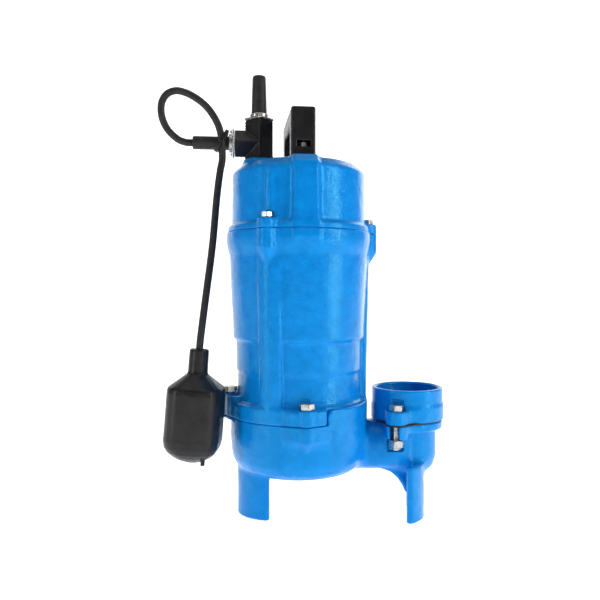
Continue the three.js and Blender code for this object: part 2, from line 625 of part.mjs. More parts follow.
piece("float_cord_loop", cord(CORD_LOOP, 20), BLACK_RUBBER);
const bend = solid(new THREE.SphereGeometry(CORD_RADIUS, 8, 6).translate(...FLOAT_PIVOT));
piece("float_cord_tether", join(cord(CORD_TETHER, 18), bend), BLACK_RUBBER);

// The tie lashes the falling cord to the sleeve: a band round both, leaning across them.
function cableTie() {
  const lean = radians(TIE_LEAN);
  const around = (grow) =>
    arc(0, 0, 1, 0, 345, 23).map(([u, v]) => {
      const reach = (halfU, halfV, shift) => Math.hypot(halfU * u, halfV * v) + shift * v;
      const sleeve = [(7.6 + grow) / Math.cos(lean) + 1.2, 7.6 + grow, 0];
      const tether = [(4.8 + grow) / Math.sin(lean) + 1.8, 4.8 + grow, 12.5];
      const [halfU, halfV, shift] = reach(...sleeve) > reach(...tether) ? sleeve : tether;
      const scale = Math.hypot(halfU * u, halfV * v);
      return [(halfU * halfU * u) / scale, (halfV * halfV * v) / scale + shift];
    });
  const band = cut(slab(around(1.2), -1.8, 1.8), slab(around(0), -3, 3));
  const head = box([-3, 17.9, -2.6], [3, 21.8, 2.6]);
  // The band's far side faces -Y, where the tether is, and its plane leans off the sleeve's cross-section.
  return join(band, head).rotate([0, 0, 180]).rotate([0, TIE_LEAN - 90, 0]).translate([-85.4, 0, ARM_Z]);
}
piece("cable_tie", cableTie(), BLACK_PLASTIC);

// ---------- Float ----------

const floatFrame = new THREE.Group();
floatFrame.position.set(...FLOAT_NECK);
floatFrame.rotation.set(0, radians(FLOAT_TILT), radians(FLOAT_TURN), "YZX");
motorFrame.add(floatFrame);

// A round-cornered square outline in the float's frame.
const softSquare = (half, corner) =>
  [[1, 1, 0], [-1, 1, 90], [-1, -1, 180], [1, -1, 270]].flatMap(([x, y, start]) =>
    arc(x * (half - corner), y * (half - corner), corner, start, start + 90, 5),
  );

// Depths run down from the neck's top: [depth, half width, corner radius].
const FLOAT_LAYERS = [
  [0, 9.4, 9.39], [1.2, 10.2, 10.19], [25, 10.5, 10.49], [40.5, FLOAT_HALF_WIDTH - 0.6, FLOAT_CORNER],
  [97, FLOAT_HALF_WIDTH, FLOAT_CORNER], [107, 26, FLOAT_CORNER], [113, 20.5, 15],
  [FLOAT_LENGTH - 1.5, 11, 10],
];

function floatHalves() {
  const layer = ([depth, half, corner], shrink) => [
    -depth, softSquare(half - shrink, Math.max(corner - shrink, 0.5)),
  ];
  const bodyWith = (layers, shrink) => loft(layers.map((each) => layer(each, shrink)).reverse());
  const outside = bodyWith(FLOAT_LAYERS, 0);
  const chamber = bodyWith(FLOAT_LAYERS.slice(3, 7), FLOAT_WALL);
  const throat = disc(7.2, -46, -30, SMALL);
  const cordWay = disc(CORD_RADIUS + GAP, -32, 1, SMALL);
  const shell = cut(outside, chamber, throat, cordWay);
  const rearSide = box([GAP / 2, -60, -200], [60, 60, 20]).rotate([0, 0, 45]);
  const frontSide = rearSide.rotate([0, 0, 180]);
  return [shell.intersect(frontSide), shell.intersect(rearSide)];
}

const [frontHalf, rearHalf] = floatHalves();
piece("float_half_front", frontHalf, BLACK_PLASTIC, floatFrame);
piece("float_half_rear", rearHalf, BLACK_PLASTIC, floatFrame);

// Inside, a switch tube holds a steel ball that rolls onto the switch when the float tips.
const TUBE_TOP = -66;
const TUBE_LENGTH = 40;
const BALL_RADIUS = 6;
const TUBE_BOTTOM = TUBE_TOP - TUBE_LENGTH;
const TUBE_FLOOR = TUBE_BOTTOM + 2;
const switchTube = cut(
  join(disc(8, TUBE_BOTTOM, TUBE_TOP, MEDIUM), box([-7, -7, TUBE_TOP], [7, 7, TUBE_TOP + 18])),
  disc(BALL_RADIUS + GAP, TUBE_FLOOR, TUBE_TOP - 3, MEDIUM),
  box([-1.5, 0, TUBE_BOTTOM + 8], [1.5, 12, TUBE_TOP - 10]),
);
piece("switch_tube", switchTube, CERAMIC, floatFrame);
const ball = new THREE.SphereGeometry(BALL_RADIUS, 16, 10).translate(0, 0, TUBE_FLOOR + BALL_RADIUS + GAP);
piece("switch_ball", solid(ball), STEEL, floatFrame);

// ---------- Motor ----------

const statorRing = cut(
  ring(37, HOUSING_BORE - GAP, CORE_BOTTOM, CORE_TOP, ROUND),
  ...[60, 180, 300].map((angle) => turnedTo(box([61, -5, CORE_BOTTOM - 1], [66, 5, CORE_TOP + 1]), angle)),
);
piece("stator_core", statorRing, STEEL);

const coil = (bottom, top) =>
  turned([
    [39, bottom + 3], [43, bottom], [55, bottom], [59, bottom + 4], [59, top - 4], [55, top], [43, top],
    [39, top - 3], [39, bottom + 3],
  ], MEDIUM);
piece("stator_winding_upper", coil(CORE_TOP + GAP, 297), COPPER);
piece("stator_winding_lower", coil(166, CORE_BOTTOM - GAP), COPPER);

piece("capacitor", disc(17.5, 316, 366, MEDIUM, -22, 28), ALUMINIUM);
piece("terminal_block", box([14, -34, 313], [44, -14, 328]), BLACK_PLASTIC);

// A bearing bracket: a disc with a hub that holds the bearing, and wire holes round it.
const bracket = (radius, disk, hub, pocket, pocketHeights) =>
  cut(
    join(disc(radius, ...disk, ROUND), disc(pocket + 7, ...hub, MEDIUM)),
    disc(pocket, ...pocketHeights, MEDIUM),
    disc(SHAFT_RADIUS + 4.5, hub[0] - 1, hub[1] + 1, MEDIUM),
    ...[30, 150, 270].map((angle) => disc(5, disk[0] - 1, disk[1] + 1, SMALL, ...onCircle(46, angle))),
  );
const upperBracket = bracket(66.7, [300.3, 308], [293, 312], 20.3, [292, 308.3]);
piece("upper_bearing_bracket", upperBracket, CAST_IRON);
const lowerBracket = bracket(HOUSING_BORE - GAP, [150, 156], [140, 158], 23.8, [139, 155.3]);
piece("lower_bearing_bracket", lowerBracket, CAST_IRON);

const bearingRings = (name, z, inner, innerWall, outer) => {
  piece(`${name}_outer`, ring(outer - 4.5, outer, z, z + BEARING_WIDTH), STEEL);
  piece(`${name}_inner`, ring(inner, inner + innerWall, z, z + BEARING_WIDTH), STEEL);
};
bearingRings("upper_bearing", UPPER_BEARING_Z, SHAFT_RADIUS + GAP, 4.5, 20);
bearingRings("lower_bearing", LOWER_BEARING_Z, 10 + GAP, 4.7, 23.5);

const shaft = turned([
  [0, 58], [5, 58], [5, 72], [8, 72], [8, 140], [10, 140], [10, 156], [12, 158], [12, CORE_TOP + 8],
  [SHAFT_RADIUS, CORE_TOP + 10], [SHAFT_RADIUS, 310], [0, 310],
], MEDIUM);
piece("shaft", shaft, STEEL);

const rotor = join(
  ring(12 + GAP, 36.2, CORE_BOTTOM, CORE_TOP, MEDIUM),
  ring(22, 34, CORE_BOTTOM - 9, CORE_BOTTOM + 1, MEDIUM),
  ring(22, 34, CORE_TOP - 1, CORE_TOP + 9, MEDIUM),
);
piece("rotor_core", rotor, ALUMINIUM);

// ---------- Seals and impeller ----------

const sealPlate = cut(
  join(
    disc(VOLUTE_BORE - GAP, 103, HOUSING_BOTTOM + 1, ROUND),
    disc(70, HOUSING_BOTTOM, 116, ROUND),
    disc(20, 103, 119, MEDIUM),
  ),
  disc(9, 100, 125, MEDIUM),
  disc(13.3, 112.7, 125, MEDIUM),
  ring(63, 70, 105.4, 109.6, ROUND),
);
piece("seal_plate", sealPlate, CAST_IRON);

const oRing = (radius, z) => turned(arc(radius, z, 1.6, 0, 360, 6), ROUND);
piece("seal_plate_o_ring", oRing(65, 107.5), BLACK_RUBBER);

piece("seal_seat", ring(9, 13, 113, 118, MEDIUM), CERAMIC);
piece("seal_head", ring(8 + GAP, 12.6, 118.3, 122, MEDIUM), CARBON);

function sealSpring() {
  const turns = 2.5;
  const coilPoints = Array.from({ length: 31 }, (_, i) => {
    const angle = (i / 30) * turns * 2 * Math.PI;
    return new THREE.Vector3(11 * Math.cos(angle), 11 * Math.sin(angle), 123.6 + (15 * i) / 30);
  });
  const route = new THREE.CatmullRomCurve3(coilPoints);
  const options = { steps: 32, extrudePath: route, bevelEnabled: false };
  return solid(new THREE.ExtrudeGeometry(roundSection(1, 5), options));
}
piece("seal_spring", sealSpring(), STEEL);

// The impeller hangs from a back disc and has curved vanes below it.
function impeller() {
  const discTop = 92;
  const hubTop = 101;
  const hubBottom = IMPELLER_BOTTOM + 8;
  const crescent = [...arc(0, -31, 31, 75, 20, 6), ...arc(0, -31, 27.5, 20, 75, 6)];
  const vaneOutline = crescent.map(([x, y]) => [x * 1.75, y * 1.3]);
  const vane = slab(vaneOutline, IMPELLER_BOTTOM, discTop - 4);
  const vanes = Array.from({ length: IMPELLER_VANES }, (_, i) => turnedTo(vane, (i * 360) / IMPELLER_VANES));
  const back = turned([
    [0, hubBottom], [14, hubBottom], [17, 84], [IMPELLER_RADIUS, 87], [IMPELLER_RADIUS, 90.5],
    [16, discTop], [13, hubTop], [0, hubTop],
  ], MEDIUM);
  return cut(
    join(back, ...vanes).intersect(disc(IMPELLER_RADIUS, IMPELLER_BOTTOM, hubTop + 1, MEDIUM)),
    disc(8 + GAP, 72 - GAP, hubTop + 9, MEDIUM),
    disc(5 + GAP, IMPELLER_BOTTOM - 14, IMPELLER_BOTTOM + 16, MEDIUM),
  );
}
piece("impeller", impeller(), CAST_IRON);
piece("impeller_washer", ring(5 + GAP, 9.5, IMPELLER_BOTTOM + 6.2, IMPELLER_BOTTOM + 7.7), ZINC);
piece("impeller_nut", cut(disc(8.4, 61.5, IMPELLER_BOTTOM + 5.9, 6), disc(5 + GAP, 55, 75, MEDIUM)), ZINC);

export default pump;
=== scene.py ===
"""Looks for the submersible sump pump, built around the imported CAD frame.

Lengths are millimetres in the motor frame, whose Z axis is the motor's axis, until a mesh is
made: PLACE then carries them to the row frame in metres.
"""

import json
import math

import bmesh
import bpy
import numpy as np
import openvdb
from mathutils import Matrix, Vector


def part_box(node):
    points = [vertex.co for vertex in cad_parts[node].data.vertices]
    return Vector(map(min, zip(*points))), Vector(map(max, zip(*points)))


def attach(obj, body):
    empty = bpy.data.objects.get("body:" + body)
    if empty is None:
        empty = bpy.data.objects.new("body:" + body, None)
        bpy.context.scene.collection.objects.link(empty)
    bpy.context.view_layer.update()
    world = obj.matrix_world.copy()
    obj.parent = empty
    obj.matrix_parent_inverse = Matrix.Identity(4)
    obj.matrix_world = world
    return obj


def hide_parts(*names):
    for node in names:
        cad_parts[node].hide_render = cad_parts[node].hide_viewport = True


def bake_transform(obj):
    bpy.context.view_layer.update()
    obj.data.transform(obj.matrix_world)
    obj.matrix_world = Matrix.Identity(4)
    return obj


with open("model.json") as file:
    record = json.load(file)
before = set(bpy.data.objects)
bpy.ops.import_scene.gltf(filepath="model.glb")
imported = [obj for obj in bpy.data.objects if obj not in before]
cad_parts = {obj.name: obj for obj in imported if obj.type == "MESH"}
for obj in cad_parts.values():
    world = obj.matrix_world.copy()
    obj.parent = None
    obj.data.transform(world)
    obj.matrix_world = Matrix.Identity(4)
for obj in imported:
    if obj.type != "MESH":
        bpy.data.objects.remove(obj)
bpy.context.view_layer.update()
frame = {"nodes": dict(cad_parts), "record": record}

MM = 0.001


def middle(node):
    low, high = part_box(node)
    return (low + high) / 2


MOTOR_AXIS = middle("shaft")
PLACE = Matrix.Translation((MOTOR_AXIS.x, MOTOR_AXIS.y, 0)) @ Matrix.Scale(MM, 4)


def reach(node):
    """A CAD node's lowest and highest corners, in millimetres in the motor frame."""
    low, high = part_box(node)
    back = PLACE.inverted()
    return back @ low, back @ high


def metres(point):
    return PLACE @ Vector(point)


# ---------- Sizes shared with the CAD part ----------

CAP_LOW, CAP_HIGH = reach("motor_cap")
HOUSING_LOW, HOUSING_HIGH = reach("motor_housing")
VOLUTE_LOW, VOLUTE_HIGH = reach("volute_casing")
COLLAR_LOW, COLLAR_HIGH = reach("discharge_collar")
HANDLE_LOW, HANDLE_HIGH = reach("carrying_handle")
TEE_LOW, TEE_HIGH = reach("cable_tee")

CAP_LUG_ANGLES = (-120, 0, 120)
CASE_LUG_ANGLES = (180, -90, 90)
HANDLE_PAD_ANGLES = (-90, 90)
CAP_BOLT_CIRCLE = 79
CASE_BOLT_CIRCLE = 76
CAP_BOLT_HOLE = 3.5
CASE_BOLT_HOLE = 5.5
CAP_LUG_TOP = 322.5
PAD_TOP = 388
BASE_FLANGE_TOP = 129
TALL_LUG_TOP = 136.5
EAR_BOTTOM = 108
BOWL_TOP = 111.7
SHOULDER_ANGLES = (-73, -14)
SHOULDER_TOP = 127.5
OUTLET_FLANGE_RADIUS = 39
OUTLET_FLANGE_TOP = 102.7

# Each leg: the middle of its circle, where its sector starts and ends, and its height.
LEG_SECTORS = ((-28, 14.5, 184, 261, 66), (-28, 14.5, 96, 140, 66), (98, -15, -68, 38, 60))

OUTLET_X = 124.5
OUTLET_BORE = 27
OUTLET_BOLT_ANGLES = (-120, 60)
OUTLET_BOLT_CIRCLE = 45
COLLAR_SEAT = 118.6
COLLAR_MOUTH = 34.5

HANDLE_BOLT_Y = 40.5
HANDLE_SEAT = 399
WINDOW_TOP = 405.5

TEE_X = -44
ARM_Z = 411
TEE_HALF_DIAGONAL = 15.6
SCREW_OFFSET = 12.8

CORD_RADIUS = 3.9
FLOAT_PIVOT = (-84.6, -12.5, 391.6)
FLOAT_NECK = (-108.4, -28, 186.5)
FLOAT_TILT = 4
FLOAT_TURN = -9

# ---------- Camera ----------

CAMERA_AZIMUTH = -6.3
CAMERA_DISTANCE = 728
CAMERA_HEIGHT = 251
CAMERA_SIDESTEP = 1.7
LENS = 39
SENSOR = 36
HORIZON_SHIFT = -0.02


def place_camera():
    turn = math.radians(CAMERA_AZIMUTH)
    back = Vector((math.sin(turn), -math.cos(turn), 0))
    side = Vector((math.cos(turn), math.sin(turn), 0))
    data = bpy.data.cameras.new("camera")
    data.lens = LENS
    data.sensor_width = SENSOR
    data.shift_y = HORIZON_SHIFT
    camera = bpy.data.objects.new("camera", data)
    bpy.context.scene.collection.objects.link(camera)
    spot = back * CAMERA_DISTANCE + side * CAMERA_SIDESTEP + Vector((0, 0, CAMERA_HEIGHT))
    camera.location = metres(spot)
    camera.rotation_euler = (math.pi / 2, 0, turn)
    bpy.context.scene.camera = camera


place_camera()

# ---------- Meshes ----------


def mesh_object(name, points, faces, matrix=PLACE, smooth=True):
    """A mesh object in the row frame from points in millimetres in the frame that matrix carries over."""
    mesh = bpy.data.meshes.new(name)
    mesh.from_pydata(points, [], faces)
    mesh.transform(matrix)
    work = bmesh.new()
    work.from_mesh(mesh)
    bmesh.ops.remove_doubles(work, verts=work.verts, dist=1e-7)
    bmesh.ops.recalc_face_normals(work, faces=work.faces)
    if work.calc_volume(signed=True) < 0:
        bmesh.ops.reverse_faces(work, faces=work.faces)
    work.to_mesh(mesh)
    work.free()
    if smooth:
        mesh.shade_smooth()
    obj = bpy.data.objects.new(name, mesh)
    bpy.context.scene.collection.objects.link(obj)
    return obj


def skin(rings, closed_path=False):
    """Points and faces of a tube through rings of equal size, with flat ends or closed on itself."""
    count = len(rings[0])
    points = [tuple(p) for ring in rings for p in ring]
    steps = len(rings) if closed_path else len(rings) - 1
    faces = []
    for i in range(steps):
        here = i * count
        there = (i + 1) % len(rings) * count
        for k in range(count):
            after = (k + 1) % count
            faces.append((here + k, here + after, there + after, there + k))
    if not closed_path:
        faces.append(tuple(range(count))[::-1])
        faces.append(tuple((len(rings) - 1) * count + k for k in range(count)))
    return points, faces


def circle(radius, z, count, x=0, y=0):
    return [
        (x + radius * math.cos(math.tau * k / count), y + radius * math.sin(math.tau * k / count), z)
        for k in range(count)
    ]


def arc(x, y, radius, start, end, steps):
    angles = [math.radians(start + (end - start) * k / steps) for k in range(steps + 1)]
    return [(x + radius * math.cos(a), y + radius * math.sin(a)) for a in angles]


def hardened_edges(obj, angle=35):
    """Smooth shading that keeps edges sharper than angle crisp."""
    obj.data.shade_smooth()
    obj.data.set_sharp_from_angle(angle=math.radians(angle))
    return obj


# ---------- Float cord: first, as its room is checked against the camera ----------

# The loop leaves the sleeve, turns over itself and falls through the tie. The tether goes on to the float.
CORD_LOOP = [
    (-117.3, 0, 410.8), (-123, 0, 410.9), (-131, -0.4, 413), (-138.5, -1, 418.4), (-144.6, -1.6, 425.2),
    (-149, -2.6, 434), (-150.9, -3.8, 444.4), (-149.4, -5, 454.6), (-143.8, -6, 462.2), (-134.6, -7, 465.4),
    (-123.6, -8.2, 463), (-112.2, -9.4, 456.8), (-102.2, -10.6, 448.6), (-94.6, -11.8, 438.6),
    (-88.8, -12.4, 427.4), (-85.8, -12.5, 416), (-84.8, -12.5, 405), (-84.6, -12.5, 396),
]
CORD_TETHER = [
    (-84.6, -12.5, 391.6), (-85.1, -12.8, 387), (-86.5, -13.6, 380), (-88.2, -14.6, 368.4),
    (-90.3, -16, 350.4), (-92.2, -17.5, 329), (-94.2, -19.4, 305), (-96.8, -21.2, 281.6),
    (-100, -23.2, 256.8), (-103.3, -25.2, 231), (-106.3, -27, 207), (-107.9, -27.9, 193),
    (-108.4, -28, 186.5), (-108.9, -28, 179.5),
]


def smooth_route(stops, spacing):
    """Points about spacing apart on a centripetal Catmull-Rom curve through the stops."""
    stops = [Vector(p) for p in stops]
    ends = [2 * stops[0] - stops[1], *stops, 2 * stops[-1] - stops[-2]]
    route = []
    for before, start, end, after in zip(ends, ends[1:], ends[2:], ends[3:]):
        knots = [0.0]
        for a, b in ((before, start), (start, end), (end, after)):
            knots.append(knots[-1] + math.sqrt((b - a).length))
        t0, t1, t2, t3 = knots
        steps = max(1, round((end - start).length / spacing))
        for k in range(steps):
            t = t1 + (t2 - t1) * k / steps
            a1 = before.lerp(start, (t - t0) / (t1 - t0))
            a2 = start.lerp(end, (t - t1) / (t2 - t1))
            a3 = end.lerp(after, (t - t2) / (t3 - t2))
            b1 = a1.lerp(a2, (t - t0) / (t2 - t0))
            b2 = a2.lerp(a3, (t - t1) / (t3 - t1))
            route.append(b1.lerp(b2, (t - t1) / (t2 - t1)))
    route.append(stops[-1])
    return route


def tube_rings(route, radius, sides):
    """A ring round each point of the route, turned as little as possible from one to the next."""
    across = Vector((0, 1, 0))
    rings = []
    for i, point in enumerate(route):
        ahead = (route[min(i + 1, len(route) - 1)] - route[max(i - 1, 0)]).normalized()
        across = (across - ahead * across.dot(ahead)).normalized()
        up = ahead.cross(across)
        turns = [math.tau * k / sides for k in range(sides)]
        rings.append([point + radius * (math.cos(t) * across + math.sin(t) * up) for t in turns])
    return rings


cord_route = smooth_route(CORD_LOOP + CORD_TETHER, 1.6)
cord = mesh_object("float_cord", *skin(tube_rings(cord_route, CORD_RADIUS, 24)))

# ---------- Solids as signed distances ----------

FAR = 1000.0
MARGIN = 3


def polygon_distance(x, y, corners):
    """The signed distance from points to a closed outline, negative inside it."""
    nearest = np.float32(FAR * FAR)
    inside = False
    for (ax, ay), (bx, by) in zip(corners, corners[1:] + corners[:1]):
        ex, ey = bx - ax, by - ay
        along = np.clip(((x - ax) * ex + (y - ay) * ey) / max(ex * ex + ey * ey, 1e-9), 0, 1)
        nearest = np.minimum(nearest, (x - ax - ex * along) ** 2 + (y - ay - ey * along) ** 2)
        if ay != by:
            crosses = ((ay > y) != (by > y)) & (x < ex * (y - ay) / ey + ax)
            inside = inside ^ crosses
    return np.where(inside, -1, 1) * np.sqrt(nearest)


def smooth_min(a, b, fillet):
    if not fillet:
        return np.minimum(a, b)
    near = np.maximum(fillet - np.abs(a - b), 0) / fillet
    return np.minimum(a, b) - near * near * fillet / 4


def smooth_max(a, b, fillet):
    return -smooth_min(-a, -b, fillet)


class Solid:
    """A solid held as the distance to its surface at the points of a grid, negative inside.

    Shapes are arrays of the same kind: add() joins one on and cut() takes one away, with a fillet."""

    def __init__(self, low, high, voxel):
        self.voxel = voxel
        self.low = [a - MARGIN * voxel for a in low]
        counts = [math.ceil((b - a) / voxel) + 2 * MARGIN + 1 for a, b in zip(low, high)]
        axes = [a + voxel * np.arange(n, dtype=np.float32) for a, n in zip(self.low, counts)]
        self.x, self.y, self.z = np.meshgrid(*axes, indexing="ij", sparse=True)
        self.distance = np.full(counts, FAR, np.float32)

    def add(self, shape, fillet=0):
        self.distance = smooth_min(self.distance, shape, fillet)

    def cut(self, shape, fillet=0):
        self.distance = smooth_max(self.distance, -shape, fillet)

    def keep(self, shape):
        self.distance = np.maximum(self.distance, shape)

    def slab(self, bottom, top):
        return np.maximum(bottom - self.z, self.z - top)

    def from_axis(self, x=0, y=0):
        return np.hypot(self.x - x, self.y - y)

    def turned(self, angle, x=0, y=0):
        """Coordinates along and across a direction at this angle from +X, about (x, y)."""
        c, s = math.cos(math.radians(angle)), math.sin(math.radians(angle))
        return (self.x - x) * c + (self.y - y) * s, (self.y - y) * c - (self.x - x) * s

    def disc(self, radius, bottom, top, x=0, y=0):
        return np.maximum(self.from_axis(x, y) - radius, self.slab(bottom, top))

    def profile(self, reach, outline):
        """The distance to an outline of [reach, height] points, where reach is an array in the XY plane."""
        reach = reach[:, :, 0]
        steps = np.arange(float(reach.min()) - 1, float(reach.max()) + 1, 0.4)
        heights = self.z[0, 0, :]
        table = polygon_distance(steps[:, None], heights[None, :], outline)
        layers = [np.interp(reach, steps, table[:, k]) for k in range(len(heights))]
        return np.stack(layers, axis=2).astype(np.float32)

    def soften(self, passes=2):
        """Rounds every edge and inner corner, as a casting's are, by about a voxel for each pass."""
        for _ in range(passes):
            for axis in range(3):
                d = np.moveaxis(self.distance, axis, 0)
                d[1:-1] = (d[:-2] + 2 * d[1:-1] + d[2:]) / 4

    def roughen(self, height, grain, seed):
        """Makes the surface uneven by up to height, in lumps about grain wide."""
        random = np.random.default_rng(seed)
        weights = []
        for axis in self.distance.shape:
            place = np.arange(axis) * self.voxel / grain
            cell = place.astype(int)
            part = place - cell
            part = part * part * (3 - 2 * part)
            row = np.zeros((axis, cell[-1] + 2))
            row[np.arange(axis), cell] = 1 - part
            row[np.arange(axis), cell + 1] = part
            weights.append(row)
        lumps = random.uniform(-height, height, [w.shape[1] for w in weights])
        noise = np.einsum("ai,bj,ck,ijk->abc", *weights, lumps, optimize=True)
        self.distance = self.distance + noise.astype(np.float32)

    def mesh(self, name, most_faces, matrix=PLACE):
        grid = openvdb.FloatGrid(MARGIN)
        near = np.clip(self.distance / self.voxel, -MARGIN, MARGIN)
        grid.copyFromArray(near.astype(np.float32), ijk=(0, 0, 0), tolerance=0)
        points, quads = grid.convertToQuads(isovalue=0.0)
        points = points * self.voxel + np.array(self.low)
        obj = mesh_object(name, points, quads, matrix)
        triangles = 2 * len(quads)
        if triangles > most_faces:
            thin = obj.modifiers.new("thin", "DECIMATE")
            thin.ratio = most_faces / triangles
            bpy.context.view_layer.objects.active = obj
            bpy.ops.object.modifier_apply(modifier=thin.name)
            obj.data.shade_smooth()
        return obj


def on_circle(radius, degrees, x=0, y=0):
    turn = math.radians(degrees)
    return x + radius * math.cos(turn), y + radius * math.sin(turn)


def lug_outline(circle, nose, half_width, root):
    """The outline of a bolt lug that reaches out along +X."""
    return [(root, -half_width), *arc(circle, 0, nose, -80, 80, 12), (root, half_width)]


# ---------- Castings ----------

CAST_VOXEL = 1.15
CAST_FACES = 180_000
SEAM_FILL = 0.12  # how far the cap and the housing each close the gap between them


def cap_solid():
    low, high = CAP_LOW, CAP_HIGH
    bottom = low.z
    cap = Solid((-79, -79, bottom - 1), (90, 79, high.z), CAST_VOXEL)
    dome = [
        (0, bottom - 6), (78.3, bottom - 6), (78.3, 316.6), (77, 319), (74.2, 319.8), (74, 321.5),
        (73.5, 374.5), (72.5, 377.5), (62.5, 386), (58, 386.6), (0, 386.6),
    ]
    cap.add(cap.profile(cap.from_axis(), dome))
    for angle in CAP_LUG_ANGLES:
        along, across = cap.turned(angle)
        lug = polygon_distance(along, across, lug_outline(CAP_BOLT_CIRCLE, 10, 13.5, 66))
        cap.add(np.maximum(lug, cap.slab(bottom - 6, CAP_LUG_TOP)), 3)
    for angle in HANDLE_PAD_ANGLES:
        along, across = cap.turned(angle)
        side = [
            (28, 370), (28, PAD_TOP + 0.3), (66.5, PAD_TOP + 0.3), (74.6, 380), (76.6, 371), (77.2, 340),
            (78.2, bottom - 6), (50, bottom - 6), (50, 370),
        ]
        half_width = np.interp(cap.z, [bottom, 345, 385], [13.6, 12.4, 12.3])
        pad = smooth_max(cap.profile(along, side), np.abs(across) - half_width, 2.5)
        cap.add(pad, 6)
    along, across = cap.turned(CAP_LUG_ANGLES[0])
    rib = [(60, 328), (75.4, 328), (76.4, 334), (76.2, 364), (73, 372), (60, 372)]
    cap.add(np.maximum(cap.profile(along, rib), np.abs(across) - 4), 4)
    boss = [(0, 370), (20, 370), (18.6, 388), (17, high.z), (0, high.z)]
    cap.add(cap.profile(cap.from_axis(TEE_X), boss), 4)
    cap.soften()
    cap.roughen(0.16, 12, 1)
    cap.roughen(0.06, 5, 2)
    cap.keep(bottom - SEAM_FILL - cap.z)
    cap.cut(cap.disc(40, high.z, high.z + 20))
    for side in (-1, 1):
        along, across = cap.turned(side * 90)
        top = np.maximum(np.abs(across) - 16, np.abs(along - 47) - 20)
        cap.cut(np.maximum(top, cap.slab(PAD_TOP, PAD_TOP + 20)))
        cap.cut(cap.disc(CAP_BOLT_HOLE, 381, PAD_TOP + 5, 0, side * HANDLE_BOLT_Y))
    for angle in CAP_LUG_ANGLES:
        x, y = on_circle(CAP_BOLT_CIRCLE, angle)
        cap.cut(cap.disc(7, CAP_LUG_TOP, CAP_LUG_TOP + 6.4, x, y), 0.6)
        cap.cut(cap.disc(CAP_BOLT_HOLE, bottom - 5, CAP_LUG_TOP + 5, x, y))
    hollow = [(0, bottom - 9), (65, bottom - 9), (65, 368), (57, 377.5), (0, 377.5)]
    cap.cut(cap.profile(cap.from_axis(), hollow))
    cap.cut(cap.disc(8, 370, high.z + 5, TEE_X))
    return cap.mesh("motor_cap_casting", CAST_FACES)


CASE_LUG_OUTLINE = [(57, -27), (74, -23), (80.5, -11), (80.5, 11), (74, 23), (57, 27)]


def case_lug_top(index):
    """The first casing lug, behind the float, is the tall one."""
    return TALL_LUG_TOP if index == 0 else BASE_FLANGE_TOP


def sector(solid, margin):
    """The distance to the wedge of space where the volute's shoulder stands, grown by a margin in degrees."""
    start, end = (math.radians(a) for a in (SHOULDER_ANGLES[0] - margin, SHOULDER_ANGLES[1] + margin))
    past_start = solid.y * math.cos(start) - solid.x * math.sin(start)
    before_end = solid.x * math.sin(end) - solid.y * math.cos(end)
    return np.maximum(-past_start, -before_end)


def housing_solid():
    bottom, top = HOUSING_LOW.z, HOUSING_HIGH.z
    housing = Solid((-86, -86, bottom), (90, 86, top + 1), CAST_VOXEL)
    barrel = [
        (0, bottom - 6), (76.5, bottom - 6), (76.5, 127), (75.2, BASE_FLANGE_TOP), (69.5, 129.5), (68, 134),
        (67.4, 160), (68.9, 161), (69.2, 194), (72.4, 196.4), (72.9, 212), (76.5, 286),
        (78.8, 295), (79.8, 302), (79.8, 307), (79.2, top + 6), (0, top + 6),
    ]
    housing.add(housing.profile(housing.from_axis(), barrel))
    height = (housing.z - bottom) / (top - bottom)
    for angle in CAP_LUG_ANGLES:
        along, across = housing.turned(angle)
        crown = across * across / 44
        rib = np.maximum(along - (75.9 + 4.7 * height - crown), np.abs(across) - (12.5 - 0.5 * height))
        housing.add(np.maximum(rib, 50 - along), 2.5)
        lug = polygon_distance(along, across, lug_outline(CAP_BOLT_CIRCLE, 10, 13.5, 66))
        taper = np.clip(291 - housing.z, 0, None) * 0.62
        housing.add(np.maximum(lug + taper, 276 - housing.z), 3)
    for index, angle in enumerate(CASE_LUG_ANGLES):
        along, across = housing.turned(angle)
        lug_top = case_lug_top(index)
        flank = polygon_distance(along, across, CASE_LUG_OUTLINE)
        housing.add(np.maximum(flank, housing.slab(bottom - 6, lug_top - 2)), 3)
        nose = np.hypot(along - CASE_BOLT_CIRCLE, across) - 9
        housing.add(np.maximum(nose, housing.slab(bottom - 6, lug_top)), 2)
    along, across = housing.turned(-90)
    rim = [(60, 296), (77.5, 296), (80.4, 303), (79.4, top + 6), (60, top + 6)]
    housing.add(np.maximum(housing.profile(along, rim), np.abs(across) - 13.2), 4)
    beside_shoulder = np.maximum(sector(housing, 1), housing.slab(bottom - 9, SHOULDER_TOP + 3))
    housing.cut(np.maximum(beside_shoulder, 72 - housing.from_axis()), 1)
    housing.soften()
    housing.roughen(0.16, 12, 3)
    housing.roughen(0.06, 5, 4)
    housing.keep(housing.slab(bottom, top + SEAM_FILL))
    bore = [
        (0, bottom - 9), (70.3, bottom - 9), (70.3, 116.3), (64, 116.3), (64, 143), (59, 143), (59, 149.7),
        (64, 149.7), (64, 300), (67, 300), (67, top + 9), (0, top + 9),
    ]
    housing.cut(housing.profile(housing.from_axis(), bore))
    for angle in CAP_LUG_ANGLES:
        housing.cut(housing.disc(CAP_BOLT_HOLE, 286, top + 5, *on_circle(CAP_BOLT_CIRCLE, angle)))
    for index, angle in enumerate(CASE_LUG_ANGLES):
        x, y = on_circle(CASE_BOLT_CIRCLE, angle)
        housing.cut(housing.disc(8.9, case_lug_top(index), case_lug_top(index) + 8.5, x, y), 0.8)
        housing.cut(housing.disc(CASE_BOLT_HOLE, bottom - 5, case_lug_top(index) + 5, x, y))
    return housing.mesh("motor_housing_casting", CAST_FACES)


